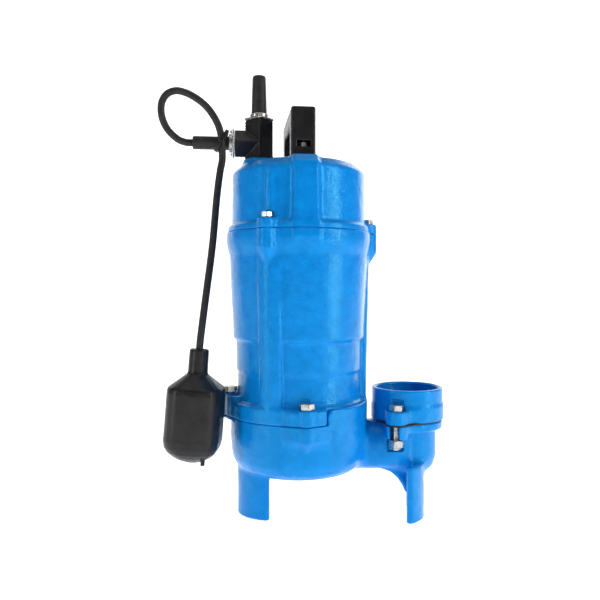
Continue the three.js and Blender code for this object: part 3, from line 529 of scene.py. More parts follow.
def outlet_flange(solid, bottom, top):
    """The oval flange that the volute and the collar share, with one rounded lug for each bolt."""
    shape = solid.from_axis(OUTLET_X) - OUTLET_FLANGE_RADIUS
    for angle in OUTLET_BOLT_ANGLES:
        lug = solid.from_axis(*on_circle(OUTLET_BOLT_CIRCLE, angle, OUTLET_X)) - 11.5
        shape = smooth_min(shape, lug, 14)
    return np.maximum(shape, solid.slab(bottom, top))


def curved_leg(solid, x, y, start, end, top):
    """A sector of a ring about (x, y), 8 mm thick with rounded ends, standing on the floor."""
    middle_angle, half = (start + end) / 2, math.radians(end - start) / 2 - 0.11
    along, across = solid.turned(middle_angle, x, y)
    bearing = np.arctan2(across, along)
    tip = np.hypot(along - 36 * math.cos(half), np.abs(across) - 36 * math.sin(half))
    plate = np.where(np.abs(bearing) < half, np.abs(np.hypot(along, across) - 36), tip) - 4
    return np.maximum(plate, solid.slab(-6, top))


def duct_shape(solid, low, high, sections):
    """A rounded passage along X through sections of [x, middle y, middle z, half width, half height]."""
    xs, *columns = zip(*sections)
    middle_y, middle_z, half_y, half_z = (np.interp(solid.x, xs, column) for column in columns)
    u = np.abs(solid.y - middle_y) / half_y
    v = np.abs(solid.z - middle_z) / half_z
    squarish = (u**2.6 + v**2.6) ** (1 / 2.6)
    return np.maximum((squarish - 1) * np.minimum(half_y, half_z), np.maximum(low - solid.x, solid.x - high))


def volute_solid():
    top = BOWL_TOP
    flange_top = OUTLET_FLANGE_TOP
    volute = Solid((-86, -86, 0), (165, 86, VOLUTE_HIGH.z), 1.25)
    bowl = [
        (0, 45.5), (33, 45.5), (36, 48), (52, 50.5), (63, 54), (69, 59), (73, 67), (74.5, 75), (75.6, 92),
        (75.6, top + 6), (0, top + 6),
    ]
    volute.add(volute.profile(volute.from_axis(), bowl))
    elbow = [(0, 42), (14, 42.5), (23, 46), (29, 53), (32, 64), (32, flange_top - 4), (0, flange_top - 4)]
    outside = duct_shape(
        volute, 30, 118,
        [(40, 0, 76, 28, 26), (72, 0, 76, 30, 26.5), (106, -4, 76, 34, 26.5), (116, -4, 75, 31, 25)],
    )
    outlet = smooth_min(volute.profile(volute.from_axis(OUTLET_X), elbow), outside, 6)
    volute.add(outlet, 7)
    for index, angle in enumerate(CASE_LUG_ANGLES):
        along, across = volute.turned(angle)
        flank = polygon_distance(along, across, CASE_LUG_OUTLINE)
        nose = np.hypot(along - CASE_BOLT_CIRCLE, across) - 9
        if index == 0:
            volute.add(np.maximum(np.minimum(flank, nose), EAR_BOTTOM - volute.z), 1.5)
            continue
        volute.add(flank + np.clip(97 - volute.z, 0, None) * 0.75, 4)
        volute.add(np.maximum(nose + np.clip(96 - volute.z, 0, None) * 0.8, 78 - volute.z), 3)
    for x, y, start, end, height in LEG_SECTORS:
        volute.add(curved_leg(volute, x, y, start, end, height), 6)
    gusset = [(90, 52), (100, 48), (108, 41), (114, 32), (117, 24), (134, 24), (134, 56)]
    volute.add(np.maximum(volute.profile(volute.x + 0 * volute.y, gusset), np.abs(volute.y + 18.5) - 4.5), 3)
    volute.add(outlet_flange(volute, 94, flange_top + 6), 2)
    for angle in OUTLET_BOLT_ANGLES:
        x, y = on_circle(OUTLET_BOLT_CIRCLE - 2, angle, OUTLET_X)
        volute.add(volute.disc(11.5, 88, 96, x, y), 2)
    volute.soften()
    volute.roughen(0.2, 12, 5)
    volute.roughen(0.07, 5, 6)
    over_bowl = smooth_min(volute.from_axis() - 88, volute.slab(-20, flange_top), 0)
    volute.keep(np.maximum(volute.slab(0, top), over_bowl))
    face = smooth_max(volute.slab(top - 9, SHOULDER_TOP), sector(volute, 0), 9)
    volute.add(smooth_max(face, np.abs(volute.from_axis() - 74.3) - 2.1, 1.5), 1)
    hollow = [
        (0, 40), (27, 40), (27, 53), (52, 56), (61, 60), (66, 68), (67, 78), (67, top + 9), (0, top + 9),
    ]
    volute.cut(volute.profile(volute.from_axis(), hollow))
    well = [(0, 50), (15, 50.5), (23, 56), (OUTLET_BORE, 66), (OUTLET_BORE, 130), (0, 130)]
    volute.cut(volute.profile(volute.from_axis(OUTLET_X), well))
    inside = duct_shape(
        volute, 40, OUTLET_X, [(40, 0, 80, 19, 16), (100, 0, 78, 20, 18), (OUTLET_X, 0, 76, 20, 18)]
    )
    volute.cut(inside, 2)
    for angle in CASE_LUG_ANGLES:
        volute.cut(volute.disc(CASE_BOLT_HOLE, 94, top + 5, *on_circle(CASE_BOLT_CIRCLE, angle)))
    for angle in OUTLET_BOLT_ANGLES:
        along, across = volute.turned(angle, OUTLET_X)
        slot = np.maximum(np.abs(across) - 5.4, OUTLET_BOLT_CIRCLE - along)
        slot = np.minimum(slot, np.hypot(along - OUTLET_BOLT_CIRCLE, across) - 5.4)
        volute.cut(np.maximum(slot, volute.slab(87.5, 130)))
        volute.cut(volute.disc(10.6, 74, 88, *on_circle(OUTLET_BOLT_CIRCLE + 1, angle, OUTLET_X)))
    return volute.mesh("volute_casting", CAST_FACES)


def collar_solid():
    bottom, top = COLLAR_LOW.z, COLLAR_HIGH.z
    collar = Solid((82, -51, bottom), (165, 51, top), 0.8)
    collar.add(collar.disc(39.8, bottom - 6, top, OUTLET_X))
    collar.add(outlet_flange(collar, bottom - 6, COLLAR_SEAT), 6)
    collar.soften()
    collar.roughen(0.12, 9, 7)
    collar.roughen(0.05, 4, 8)
    collar.keep(bottom - collar.z)
    mouth = [
        (0, bottom - 9), (28.5, bottom - 9), (28.5, 110), (33.5, 114), (COLLAR_MOUTH, top - 2),
        (COLLAR_MOUTH + 2.2, top + 1), (COLLAR_MOUTH + 2.2, top + 9), (0, top + 9),
    ]
    collar.cut(collar.profile(collar.from_axis(OUTLET_X), mouth))
    thread = COLLAR_MOUTH - 0.9 + 0.9 * np.abs((collar.z / 2.3) % 1 * 2 - 1)
    grooves = np.maximum(collar.from_axis(OUTLET_X) - thread - 0.9, collar.slab(116, top - 3))
    collar.cut(grooves)
    for angle in OUTLET_BOLT_ANGLES:
        x, y = on_circle(OUTLET_BOLT_CIRCLE + 2.8, angle, OUTLET_X)
        collar.cut(collar.disc(10.9, COLLAR_SEAT, 129.5, x, y), 0.6)
        x, y = on_circle(OUTLET_BOLT_CIRCLE, angle, OUTLET_X)
        collar.cut(collar.disc(CASE_BOLT_HOLE, bottom - 5, COLLAR_SEAT + 5, x, y))
    return collar.mesh("discharge_collar_casting", 120_000)


# ---------- Carrying handle ----------


def handle_solid():
    low, high = HANDLE_LOW, HANDLE_HIGH
    half, half_width = high.y, (high.x - low.x) / 2
    foot, top = low.z, high.z
    handle = Solid((low.x, low.y, foot), (high.x, half, top), 0.6)
    side = [
        (-half, foot), (-31, foot), (-31, 418), (-29.5, 422), (-26, 423.8),
        (26, 423.8), (29.5, 422), (31, 418),
        (31, foot), (half, foot), *arc(half - 7, top - 7, 7, 0, 90, 8),
        (-half + 1.5, top), (-half, top - 1.5),
    ]
    bow = handle.profile(handle.y + 0 * handle.x, side)
    handle.add(smooth_max(bow, np.abs(handle.x) - half_width, 3))
    handle.soften(1)
    for end in (-1, 1):
        window = np.maximum(np.abs(handle.x - 0.4) - 7.2, np.abs(handle.y - end * (half - 8.3)) - 9.2)
        handle.cut(np.maximum(window, handle.slab(HANDLE_SEAT, WINDOW_TOP)), 1)
        handle.cut(handle.disc(CAP_BOLT_HOLE, foot - 5, HANDLE_SEAT + 2, 0, end * HANDLE_BOLT_Y))
    handle.keep(handle.slab(foot, top))
    return handle.mesh("carrying_handle_moulding", 90_000)


# ---------- Bolts and nuts ----------

HEX_SIDES = 96


def hex_radius(across_corners, turn):
    """The radius of a hexagon with its corners at that radius, with the tips just broken."""
    sector = math.pi / 3
    part = (turn % sector) - sector / 2
    flat = across_corners * math.cos(sector / 2)
    return min(flat / math.cos(part), across_corners * 0.992)


def hex_ring(across_corners, z, limit):
    turns = [math.tau * k / HEX_SIDES for k in range(HEX_SIDES)]
    radii = [min(hex_radius(across_corners, t), limit) for t in turns]
    return [(r * math.cos(t), r * math.sin(t), z) for r, t in zip(radii, turns)]


def chamfered(across_corners, bottom, top, from_top=True, from_bottom=False):
    """Rings up a hexagon whose corners are turned down by a 30 degree cone at its ends."""
    flat = across_corners * math.cos(math.pi / 6)
    depth = (across_corners - flat * 0.96) * math.tan(math.radians(30))
    steps = [0, 0.2, 0.4, 0.6, 0.8, 1]
    rings = []
    if from_bottom:
        rings += [(bottom + depth * s, flat * 0.96 + (across_corners - flat * 0.96) * s) for s in steps]
    else:
        rings += [(bottom, across_corners)]
    if from_top:
        rings += [
            (top - depth * s, flat * 0.96 + (across_corners - flat * 0.96) * s)
            for s in reversed(steps)
        ]
    else:
        rings += [(top, across_corners)]
    return [hex_ring(across_corners, z, limit) for z, limit in rings]


def threaded_rings(radius, bottom, top, pitch, thread_top):
    """Rings up a shank with a helical thread below thread_top."""
    step = pitch / 5
    count = math.ceil((top - bottom) / step)
    rings = []
    for i in range(count + 1):
        z = bottom + (top - bottom) * i / count
        ring = []
        for k in range(HEX_SIDES):
            turn = math.tau * k / HEX_SIDES
            wave = abs(((z / pitch - k / HEX_SIDES) % 1) * 2 - 1)
            depth = 0.42 * (1 - wave) if z < thread_top else 0
            ring.append(((radius - depth) * math.cos(turn), (radius - depth) * math.sin(turn), z))
        rings.append(ring)
    return rings


def bolt(name, node, across_corners, head, shank, seat, spin=0, threaded=False):
    """A hexagon bolt that stands for a CAD node, its seat at the height given."""
    low, high = reach(node)
    x, y = (low.x + high.x) / 2, (low.y + high.y) / 2
    end = low.z - seat
    rings = [circle(shank - 0.6, end, HEX_SIDES)]
    if threaded:
        rings += threaded_rings(shank, end + 0.6, -6, 1.5, -8)
    else:
        rings += [circle(shank, end + 0.6, HEX_SIDES)]
    rings += [circle(shank, 0, HEX_SIDES)]
    rings += [circle(across_corners * 0.83, 0, HEX_SIDES), circle(across_corners * 0.83, 0.35, HEX_SIDES)]
    rings += chamfered(across_corners, 0.4, head)
    rings += [
        circle(across_corners * 0.62, head, HEX_SIDES),
        circle(across_corners * 0.56, head - 0.25, HEX_SIDES),
    ]
    rings += [circle(across_corners * 0.2, head - 0.3, HEX_SIDES)]
    place = PLACE @ Matrix.Translation((x, y, seat)) @ Matrix.Rotation(math.radians(spin), 4, "Z")
    return hardened_edges(mesh_object(name, *skin(rings), place))


def nut(name, node, across_corners, inner):
    low, high = reach(node)
    x, y = (low.x + high.x) / 2, (low.y + high.y) / 2
    height = high.z - low.z
    rings = chamfered(across_corners, 0, height, True, True)
    rings += [circle(inner + 0.5, height, HEX_SIDES), circle(inner, height - 0.5, HEX_SIDES)]
    rings += [circle(inner, 0.5, HEX_SIDES), circle(inner + 0.5, 0, HEX_SIDES)]
    place = PLACE @ Matrix.Translation((x, y, low.z))
    return hardened_edges(mesh_object(name, *skin(rings, closed_path=True), place))


# ---------- Cable tee, glands and sleeves ----------

LAID_OUT = PLACE @ Matrix.Translation((TEE_X, 0, ARM_Z)) @ Matrix.Rotation(math.radians(-90), 4, "Y")
STOOD_UP = PLACE @ Matrix.Translation((TEE_X, 0, 0))
ARM_REACH = 27
PLATE_THICK = 2.5
GLAND_GAP = 0.3


def tee_solid():
    bottom, top = TEE_LOW.z, TEE_HIGH.z
    tee = Solid((-71, -15.7, bottom), (-28.3, 15.7, top), 0.5)
    side = TEE_HALF_DIAGONAL / math.sqrt(2)
    arm_side = (TEE_HALF_DIAGONAL - 0.3) / math.sqrt(2)
    along, across = tee.turned(45, TEE_X)
    barrel = smooth_max(np.abs(along) - side, np.abs(across) - side, 1.2)
    tee.add(np.maximum(barrel, tee.slab(bottom - 6, top + 6)))
    rise, spread = (tee.z - ARM_Z) * math.sqrt(0.5), tee.y * math.sqrt(0.5)
    arm = smooth_max(np.abs(rise + spread) - arm_side, np.abs(rise - spread) - arm_side, 1.2)
    tee.add(np.maximum(arm, tee.x - TEE_X), 0.5)
    for height in (top - 3, top - 6, top - 9):
        outline = np.maximum(np.abs(along), np.abs(across)) - side
        rib = np.maximum(np.abs(tee.z - height) - 0.55, outline - 0.35)
        tee.add(np.maximum(rib, tee.x - TEE_X + 1), 0.5)
    outline = np.maximum(np.abs(along), np.abs(across)) - side
    collar = np.maximum(outline - 0.2, tee.slab(bottom - 6, bottom + 3))
    tee.add(collar, 0.8)
    tee.keep(np.maximum(tee.slab(bottom, top), TEE_X - ARM_REACH - tee.x))
    tee.keep(np.maximum(tee.from_axis(TEE_X) - 60, np.abs(tee.y) - 15.55))
    tee.cut(tee.disc(8, bottom - 5, top + 5, TEE_X))
    tee.cut(np.maximum(np.hypot(tee.y, tee.z - ARM_Z) - 8, tee.x - TEE_X))
    return tee.mesh("cable_tee_moulding", 90_000)


def gland_plate(name, seat, matrix):
    """A diamond plate with rounded corners, a hole for the sleeve and two pressed screw seats."""
    plate = Solid((-17, -17, seat), (17, 17, seat + PLATE_THICK), 0.3)
    along, across = plate.turned(45)
    side = 17 / math.sqrt(2)
    square = smooth_max(np.abs(along) - side, np.abs(across) - side, 2.5)
    plate.add(smooth_max(square, plate.slab(seat, seat + PLATE_THICK), 0.8))
    plate.cut(plate.disc(9, seat - 5, seat + 9), 0.4)
    for side in (-1, 1):
        dish = plate.disc(2.6, seat + PLATE_THICK - 0.25, seat + 9, 0, side * SCREW_OFFSET)
        plate.cut(dish, 0.2)
    return plate.mesh(name, 30_000, matrix)


def gland_ring(name, seat, length, matrix):
    """A turned compression ring with a rolled lip and two grooves."""
    outside = [
        (10.3, 0), (10.3, 0.3), (10.3, 0.36), (9.9, 0.4),
        (9.9, 0.5), (10.3, 0.54), (10.3, 0.85), (9.9, 1),
    ]
    rings = [circle(8.95, seat, 64), circle(9.9, seat, 64)]
    rings += [circle(radius, seat + 0.3 + (length - 0.3) * share, 64) for radius, share in outside]
    rings += [circle(9.1, seat + length, 64), circle(8.95, seat + length - 0.3, 64)]
    return hardened_edges(mesh_object(name, *skin(rings, closed_path=True), matrix))


def gland_screw(name, seat, x, y, matrix):
    """A pan-head screw with a cross recess."""
    screw = Solid((-2.1, -2.1, seat), (2.1, 2.1, seat + 2.2), 0.12)
    dome = [
        (0, seat), (1.95, seat), (1.95, seat + 0.9),
        *arc(0.4, seat + 0.65, 1.53, 10, 75, 6), (0, seat + 2.18),
    ]
    screw.add(screw.profile(screw.from_axis(), dome))
    arms = np.minimum(np.abs(screw.x), np.abs(screw.y)) - 0.3
    cross = np.maximum(np.maximum(arms, screw.from_axis() - 1.2), seat + 1.2 - screw.z)
    screw.cut(cross, 0.15)
    return screw.mesh(name, 12_000, matrix @ Matrix.Translation((x, y, 0)))


def sleeve(name, outline, matrix):
    """A turned rubber sleeve from an outline of [radius, height] points."""
    rings = [circle(radius, z, 48) for radius, z in outline]
    return hardened_edges(mesh_object(name, *skin(rings), matrix), 50)


# ---------- Cable tie ----------


def cable_tie():
    """The band round the sleeve and the cord, and its lock head."""
    lean = math.radians(30)

    def band_outline(grow, count=96):
        points = []
        for k in range(count):
            u, v = math.cos(math.tau * k / count), math.sin(math.tau * k / count)
            hoops = (
                ((7.6 + grow) / math.cos(lean) + 1.2, 7.6 + grow, 0),
                ((4.8 + grow) / math.sin(lean) + 1.8, 4.8 + grow, 12.5),
            )
            half_u, half_v, shift = max(hoops, key=lambda h: math.hypot(h[0] * u, h[1] * v) + h[2] * v)
            scale = math.hypot(half_u * u, half_v * v)
            points.append((half_u * half_u * u / scale, half_v * half_v * v / scale + shift))
        return points

    place = (
        PLACE
        @ Matrix.Translation((-85.4, 0, ARM_Z))
        @ Matrix.Rotation(math.radians(30 - 90), 4, "Y")
        @ Matrix.Rotation(math.pi, 4, "Z")
    )
    inner, middle_line, outer = band_outline(0.05), band_outline(1.0), band_outline(1.15)
    rings = []
    for (ix, iy), (mx, my), (ox, oy) in zip(inner, middle_line, outer):
        rings.append([
            (ix, iy, -1.75), (mx, my, -1.75), (ox, oy, -1.3),
            (ox, oy, 1.3), (mx, my, 1.75), (ix, iy, 1.75),
        ])
    band = mesh_object("cable_tie_band", *skin(rings, closed_path=True), place)
    head = Solid((-3, 17.9, -2.6), (3, 21.8, 2.6), 0.2)
    block = smooth_max(np.abs(head.x) - 2.95, np.abs(head.z) - 2.55, 0.8)
    head.add(smooth_max(block, np.abs(head.y - 19.85) - 1.9, 0.8))
    head.cut(np.maximum(np.abs(head.z) - 1.5, np.abs(head.y - 20.6) - 0.45))
    lock = head.mesh("cable_tie_head", 12_000, place)
    return hardened_edges(band), lock


# ---------- Float ----------

FLOAT_PLACE = (
    PLACE
    @ Matrix.Translation(FLOAT_NECK)
    @ Matrix.Rotation(math.radians(FLOAT_TILT), 4, "Y")
    @ Matrix.Rotation(math.radians(FLOAT_TURN), 4, "Z")
)
FLOAT_DEPTHS = (0, 1.2, 24.5, 26.5, 39.5, 41.5, 46, 95, 102, 107.5, 112, 116, 119.5)
FLOAT_HALVES = (9.6, 10.2, 10.5, 11.5, 27.2, 28.4, 28.8, 29, 28, 25.2, 20.8, 14.5, 5)
FLOAT_CORNERS = (9.5, 10.1, 10.4, 11.2, 17, 17.5, 17.5, 17.5, 17.5, 17, 16, 12, 5)


def float_solid():
    """The blow-moulded float in its own frame, neck at the origin and depth along -Z."""
    shell = Solid((-30, -30, -119.5), (30, 30, 0), 0.8)
    depth = -shell.z
    half = np.interp(depth, FLOAT_DEPTHS, FLOAT_HALVES)
    corner = np.interp(depth, FLOAT_DEPTHS, FLOAT_CORNERS)

    def square(grow):
        u = np.abs(shell.x) - (half + grow - corner)
        v = np.abs(shell.y) - (half + grow - corner)
        return np.hypot(np.maximum(u, 0), np.maximum(v, 0)) + np.minimum(np.maximum(u, v), 0) - corner

    slope = np.interp(
        depth, (0, 24, 27, 39, 43, 95, 104, 117, 119.5), (1, 1, 0.65, 0.65, 1, 1, 0.8, 0.45, 0.4)
    )
    body = square(0) * slope
    seam_across = (shell.x + shell.y) * math.sqrt(0.5)
    ridge = np.maximum(square(0.9) * slope, np.abs(seam_across) - 0.8)
    shell.add(np.maximum(body, shell.slab(-119.2, 0)))
    shell.add(np.maximum(ridge, shell.slab(-119.2, -3)), 1.2)
    shell.soften(1)
    shell.roughen(0.15, 14, 9)
    nub = np.hypot(shell.x - 14.3, shell.y + 14.3) - 2.2
    shell.add(np.maximum(nub, shell.slab(-119.3, -108)), 1.5)
    shell.cut(np.maximum(shell.from_axis() - 8.6, -1.1 - shell.z), 0.4)
    inner = np.maximum((square(0) + 2.6), shell.slab(-111.5, -43))
    shell.cut(inner)
    shell.cut(shell.disc(7.2, -47, -30))
    shell.cut(shell.disc(CORD_RADIUS + 0.35, -32, 5))
    return shell, seam_across


def float_halves():
    shell, seam_across = float_solid()
    whole = shell.distance
    halves = []
    for name, side in (("float_shell_front", 1), ("float_shell_rear", -1)):
        shell.distance = np.maximum(whole, side * seam_across + 0.08)
        halves.append(shell.mesh(name, 90_000, FLOAT_PLACE))
    return halves

# ---------- Materials ----------


class Look:
    """A node material with one principled shader; values the same all over are set on its sockets."""

    def __init__(self, name, **sockets):
        self.material = bpy.data.materials.new(name)
        self.material.use_nodes = True
        self.tree = self.material.node_tree
        self.shader = self.tree.nodes["Principled BSDF"]
        for socket, value in sockets.items():
            self.shader.inputs[socket.replace("_", " ")].default_value = value
        self.place = self.tree.nodes.new("ShaderNodeTexCoord").outputs["Object"]
        self.height = None

    def node(self, kind, **settings):
        made = self.tree.nodes.new("ShaderNode" + kind)
        for key, value in settings.items():
            if hasattr(made, key):
                setattr(made, key, value)
            else:
                made.inputs[key.replace("_", " ")].default_value = value
        return made

    def link(self, output, socket):
        self.tree.links.new(output, socket)

    def stretched(self, scale):
        made = self.node("Mapping")
        made.inputs["Scale"].default_value = scale
        self.link(self.place, made.inputs["Vector"])
        return made.outputs["Vector"]

    def noise(self, size, detail=3, roughness=0.5, scale=None):
        """Noise whose lumps are about size metres wide."""
        made = self.node("TexNoise", Scale=1 / size, Detail=detail, Roughness=roughness)
        self.link(self.stretched(scale) if scale else self.place, made.inputs["Vector"])
        return made.outputs["Fac"]

    def wave(self, size, direction="Z", distortion=0.0):
        scale = 0.05 / size * math.tau
        made = self.node("TexWave", bands_direction=direction, Scale=scale, Distortion=distortion)
        self.link(self.place, made.inputs["Vector"])
        return made.outputs["Fac"]

    def ramp(self, value, *stops):
        """Colours or grey levels at places along a value from 0 to 1."""
        made = self.node("ValToRGB")
        marks = made.color_ramp.elements
        while len(marks) < len(stops):
            marks.new(0.5)
        for mark, (at, colour) in zip(marks, stops):
            mark.position = at
            mark.color = (*colour, 1) if isinstance(colour, tuple) else (colour, colour, colour, 1)
        self.link(value, made.inputs["Fac"])
        return made.outputs["Color"]

    def colour(self, value, *stops):
        self.link(self.ramp(value, *stops), self.shader.inputs["Base Color"])

    def rough(self, value, low, high, start=0.3, end=0.7):
        self.link(self.ramp(value, (start, low), (end, high)), self.shader.inputs["Roughness"])

    def bump(self, value, depth, strength=1.0):
        """Relief of a depth in metres, laid over the relief already there."""
        made = self.node("Bump", Strength=strength, Distance=depth)
        self.link(value, made.inputs["Height"])
        if self.height:
            self.link(self.height, made.inputs["Normal"])
        self.height = made.outputs["Normal"]
        self.link(self.height, self.shader.inputs["Normal"])


def blue_paint():
    """Thick gloss enamel over a sand casting: a grainy skin, pooled colour and soft lumps."""
    look = Look("blue_enamel", Metallic=0.0, Specular_IOR_Level=0.42, Specular_Tint=(0.25, 1.0, 0.9, 1))
    look.colour(
        look.noise(0.011, 5, 0.65),
        (0.30, (0.001, 0.190, 0.590)), (0.5, (0.002, 0.225, 0.680)), (0.72, (0.003, 0.262, 0.760)),
    )
    look.rough(look.noise(0.004, 4, 0.6), 0.13, 0.22)
    look.bump(look.noise(0.0095, 3, 0.5), 0.0006, 0.5)
    look.bump(look.noise(0.0032, 3, 0.55), 0.0004, 0.6)
    look.bump(look.noise(0.0016, 2, 0.5), 0.00028, 0.7)
    return look.material


def zinc_plate():
    """Bright zinc on steel hardware, a little clouded and scratched."""
    look = Look("bright_zinc", Metallic=1.0)
    look.colour(
        look.noise(0.004, 4),
        (0.3, (0.34, 0.33, 0.31)), (0.55, (0.58, 0.57, 0.54)), (0.75, (0.74, 0.72, 0.68)),
    )
    look.rough(look.noise(0.002, 4), 0.2, 0.42)
    look.bump(look.noise(0.0008, 3, scale=(1, 1, 0.2)), 0.00008, 0.5)
    return look.material


def machined_steel(name="machined_steel", tint=(0.55, 0.56, 0.58)):
    """Turned steel, with the fine rings that the tool leaves."""
    look = Look(name, Metallic=1.0, Anisotropic=0.3)
    dark = tuple(0.82 * c for c in tint)
    look.colour(look.noise(0.006, 4), (0.35, dark), (0.65, tint))
    look.rough(look.noise(0.003, 3, scale=(1, 1, 6)), 0.22, 0.4)
    look.bump(look.noise(0.0006, 2, scale=(0.2, 0.2, 5)), 0.00005, 0.6)
    return look.material


def lamination_steel():
    """A stack of punched sheets, seen as fine bands along the motor axis."""
    look = Look("lamination_steel", Metallic=0.9)
    bands = look.wave(0.0013)
    look.colour(bands, (0.1, (0.16, 0.17, 0.2)), (0.6, (0.36, 0.37, 0.4)))
    look.rough(look.noise(0.004), 0.35, 0.55)
    look.bump(bands, 0.0002, 0.6)
    return look.material


def cast_iron():
    look = Look("bare_cast_iron", Metallic=0.75)
    look.colour(look.noise(0.005, 5, 0.65), (0.3, (0.10, 0.10, 0.105)), (0.7, (0.24, 0.235, 0.23)))
    look.rough(look.noise(0.002), 0.5, 0.75)
    look.bump(look.noise(0.0022, 4, 0.6), 0.0005, 0.6)
    return look.material


def cast_aluminium():
    look = Look("cast_aluminium", Metallic=1.0)
    look.colour(look.noise(0.008, 4), (0.35, (0.52, 0.53, 0.55)), (0.65, (0.68, 0.69, 0.71)))
    look.rough(look.noise(0.002), 0.3, 0.5)
    look.bump(look.noise(0.0015, 3), 0.0002, 0.5)
    return look.material


def copper_winding():
    """Enamelled wire: packed strands under a brown varnish."""
    look = Look("copper_winding", Metallic=0.85, Coat_Weight=0.5, Coat_Roughness=0.2)
    strands = look.wave(0.0011, "DIAGONAL", 1.5)
    look.colour(strands, (0.1, (0.20, 0.07, 0.025)), (0.6, (0.62, 0.27, 0.11)))
    look.rough(look.noise(0.003), 0.25, 0.45)
    look.bump(strands, 0.0006, 0.8)
    return look.material


def moulded_plastic(name, dark, light, low, high, grain=0.0011, lumps=0.012):
    """Moulded plastic: a fine spark-eroded grain over slow sinks."""
    look = Look(name, Metallic=0.0, Specular_IOR_Level=0.32)
    look.colour(look.noise(lumps, 4), (0.35, dark), (0.65, light))
    look.rough(look.noise(grain * 4, 4), low, high)
    look.bump(look.noise(lumps, 2), 0.0006, 0.4)
    look.bump(look.noise(grain, 3), 0.00012, 0.55)
    return look.material


def rubber(name="black_rubber", dark=(0.010, 0.010, 0.011), light=(0.024, 0.024, 0.025)):
    """Cable rubber: matt, faintly dusty and drawn along its length."""
    look = Look(name, Metallic=0.0, Specular_IOR_Level=0.3, Sheen_Weight=0.06, Sheen_Roughness=0.5)
    look.colour(look.noise(0.006, 5, 0.6), (0.3, dark), (0.7, light))
    look.rough(look.noise(0.003, 4), 0.38, 0.58)
    look.bump(look.noise(0.0009, 3), 0.00012, 0.6)
    return look.material


def ceramic():
    look = Look("seal_ceramic", Metallic=0.0, Specular_IOR_Level=0.55)
    look.colour(look.noise(0.003, 3), (0.35, (0.72, 0.69, 0.62)), (0.65, (0.82, 0.79, 0.72)))
    look.rough(look.noise(0.001), 0.12, 0.25)
    look.bump(look.noise(0.0004), 0.00002, 0.5)
    return look.material


LOOKS = {
    "blue_paint": blue_paint(),
    "zinc_plate": zinc_plate(),
    "machined_steel": machined_steel(),
    "bare_cast_iron": cast_iron(),
    "cast_aluminium": cast_aluminium(),
    "copper_wire": copper_winding(),
    "black_plastic": moulded_plastic(
        "black_moulding", (0.007, 0.007, 0.008), (0.013, 0.013, 0.014), 0.26, 0.4
    ),
    "switch_plastic": moulded_plastic(
        "switch_moulding", (0.66, 0.63, 0.55), (0.76, 0.73, 0.66), 0.3, 0.45
    ),
    "black_rubber": rubber(),
    "seal_ceramic": ceramic(),
    "seal_carbon": moulded_plastic("seal_carbon", (0.03, 0.03, 0.032), (0.055, 0.055, 0.058), 0.35, 0.5),
}
LAMINATIONS = lamination_steel()


def paint_cad_nodes():
    """Every CAD node gets its slot's material; the laminated cores get their own."""
    for part in frame["record"]["subparts"]:
        name = part["node"]
        look = LAMINATIONS if name in ("stator_core", "rotor_core") else LOOKS[part["material_slot"]]
        mesh = frame["nodes"][name].data
        mesh.materials.clear()
        mesh.materials.append(look)


# ---------- Assembly ----------


def dress(obj, slot, body, *replaced):
    """Gives a piece the material of its slot, hides the CAD nodes it stands for and hangs it on the body it
    rides on.
    """
    obj.data.materials.clear()
    obj.data.materials.append(LOOKS[slot])
    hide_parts(*replaced)
    if body:
        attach(obj, body)
    return obj


paint_cad_nodes()

dress(cap_solid(), "blue_paint", "root", "motor_cap")
dress(housing_solid(), "blue_paint", "root", "motor_housing")
dress(volute_solid(), "blue_paint", "root", "volute_casing")
dress(collar_solid(), "blue_paint", "root", "discharge_collar")
dress(handle_solid(), "black_plastic", "root", "carrying_handle")
dress(tee_solid(), "black_plastic", "root", "cable_tee")

for number, angle in enumerate(CAP_LUG_ANGLES, 1):
    node = f"cap_bolt_{number}"
    made = bolt(f"{node}_zinc", node, 6, 5, 3, CAP_LUG_TOP + GLAND_GAP, angle + 30)
    dress(made, "zinc_plate", "root", node)
for number, angle in enumerate(CASE_LUG_ANGLES, 1):
    node = f"housing_bolt_{number}"
    made = bolt(f"{node}_zinc", node, 8.3, 6, 4.8, case_lug_top(number - 1) + GLAND_GAP, angle + 12)
    dress(made, "zinc_plate", "root", node)
for number, angle in enumerate(OUTLET_BOLT_ANGLES, 1):
    node = f"discharge_bolt_{number}"
    made = bolt(f"{node}_zinc", node, 8.2, 6.4, 4.8, COLLAR_SEAT + GLAND_GAP, angle, threaded=True)
    dress(made, "zinc_plate", "root", node)
    node = f"discharge_nut_{number}"
    dress(nut(f"{node}_zinc", node, 8.6, 5.2), "zinc_plate", "root", node)
for number in (1, 2):
    node = f"handle_bolt_{number}"
    made = bolt(f"{node}_zinc", node, 5.6, 5.2, 3, HANDLE_SEAT + GLAND_GAP, 10 * number)
    dress(made, "zinc_plate", "root", node)

POWER_PLATE = TEE_HIGH.z + GLAND_GAP
FLOAT_PLATE = ARM_REACH + GLAND_GAP
RING_SEAT = PLATE_THICK + GLAND_GAP
GLANDS = (("power", POWER_PLATE, 4, STOOD_UP, (0, 1)), ("float", FLOAT_PLATE, 3.4, LAID_OUT, (1, 0)))
for name, seat, length, matrix, (screw_x, screw_y) in GLANDS:
    node = f"{name}_gland_plate"
    turned_plate = matrix @ Matrix.Rotation(math.pi / 2, 4, "Z") if screw_x else matrix
    dress(gland_plate(f"{node}_zinc", seat, turned_plate), "zinc_plate", "root", node)
    node = f"{name}_gland_ring"
    dress(gland_ring(f"{node}_zinc", seat + RING_SEAT, length, matrix), "zinc_plate", "root", node)
    for number, side in enumerate((-1, 1), 1):
        node = f"{name}_gland_screw_{number}"
        x, y = (-side * SCREW_OFFSET * screw_x, side * SCREW_OFFSET * screw_y)
        made = gland_screw(f"{node}_zinc", seat + RING_SEAT, x, y, matrix)
        dress(made, "zinc_plate", "root", node)

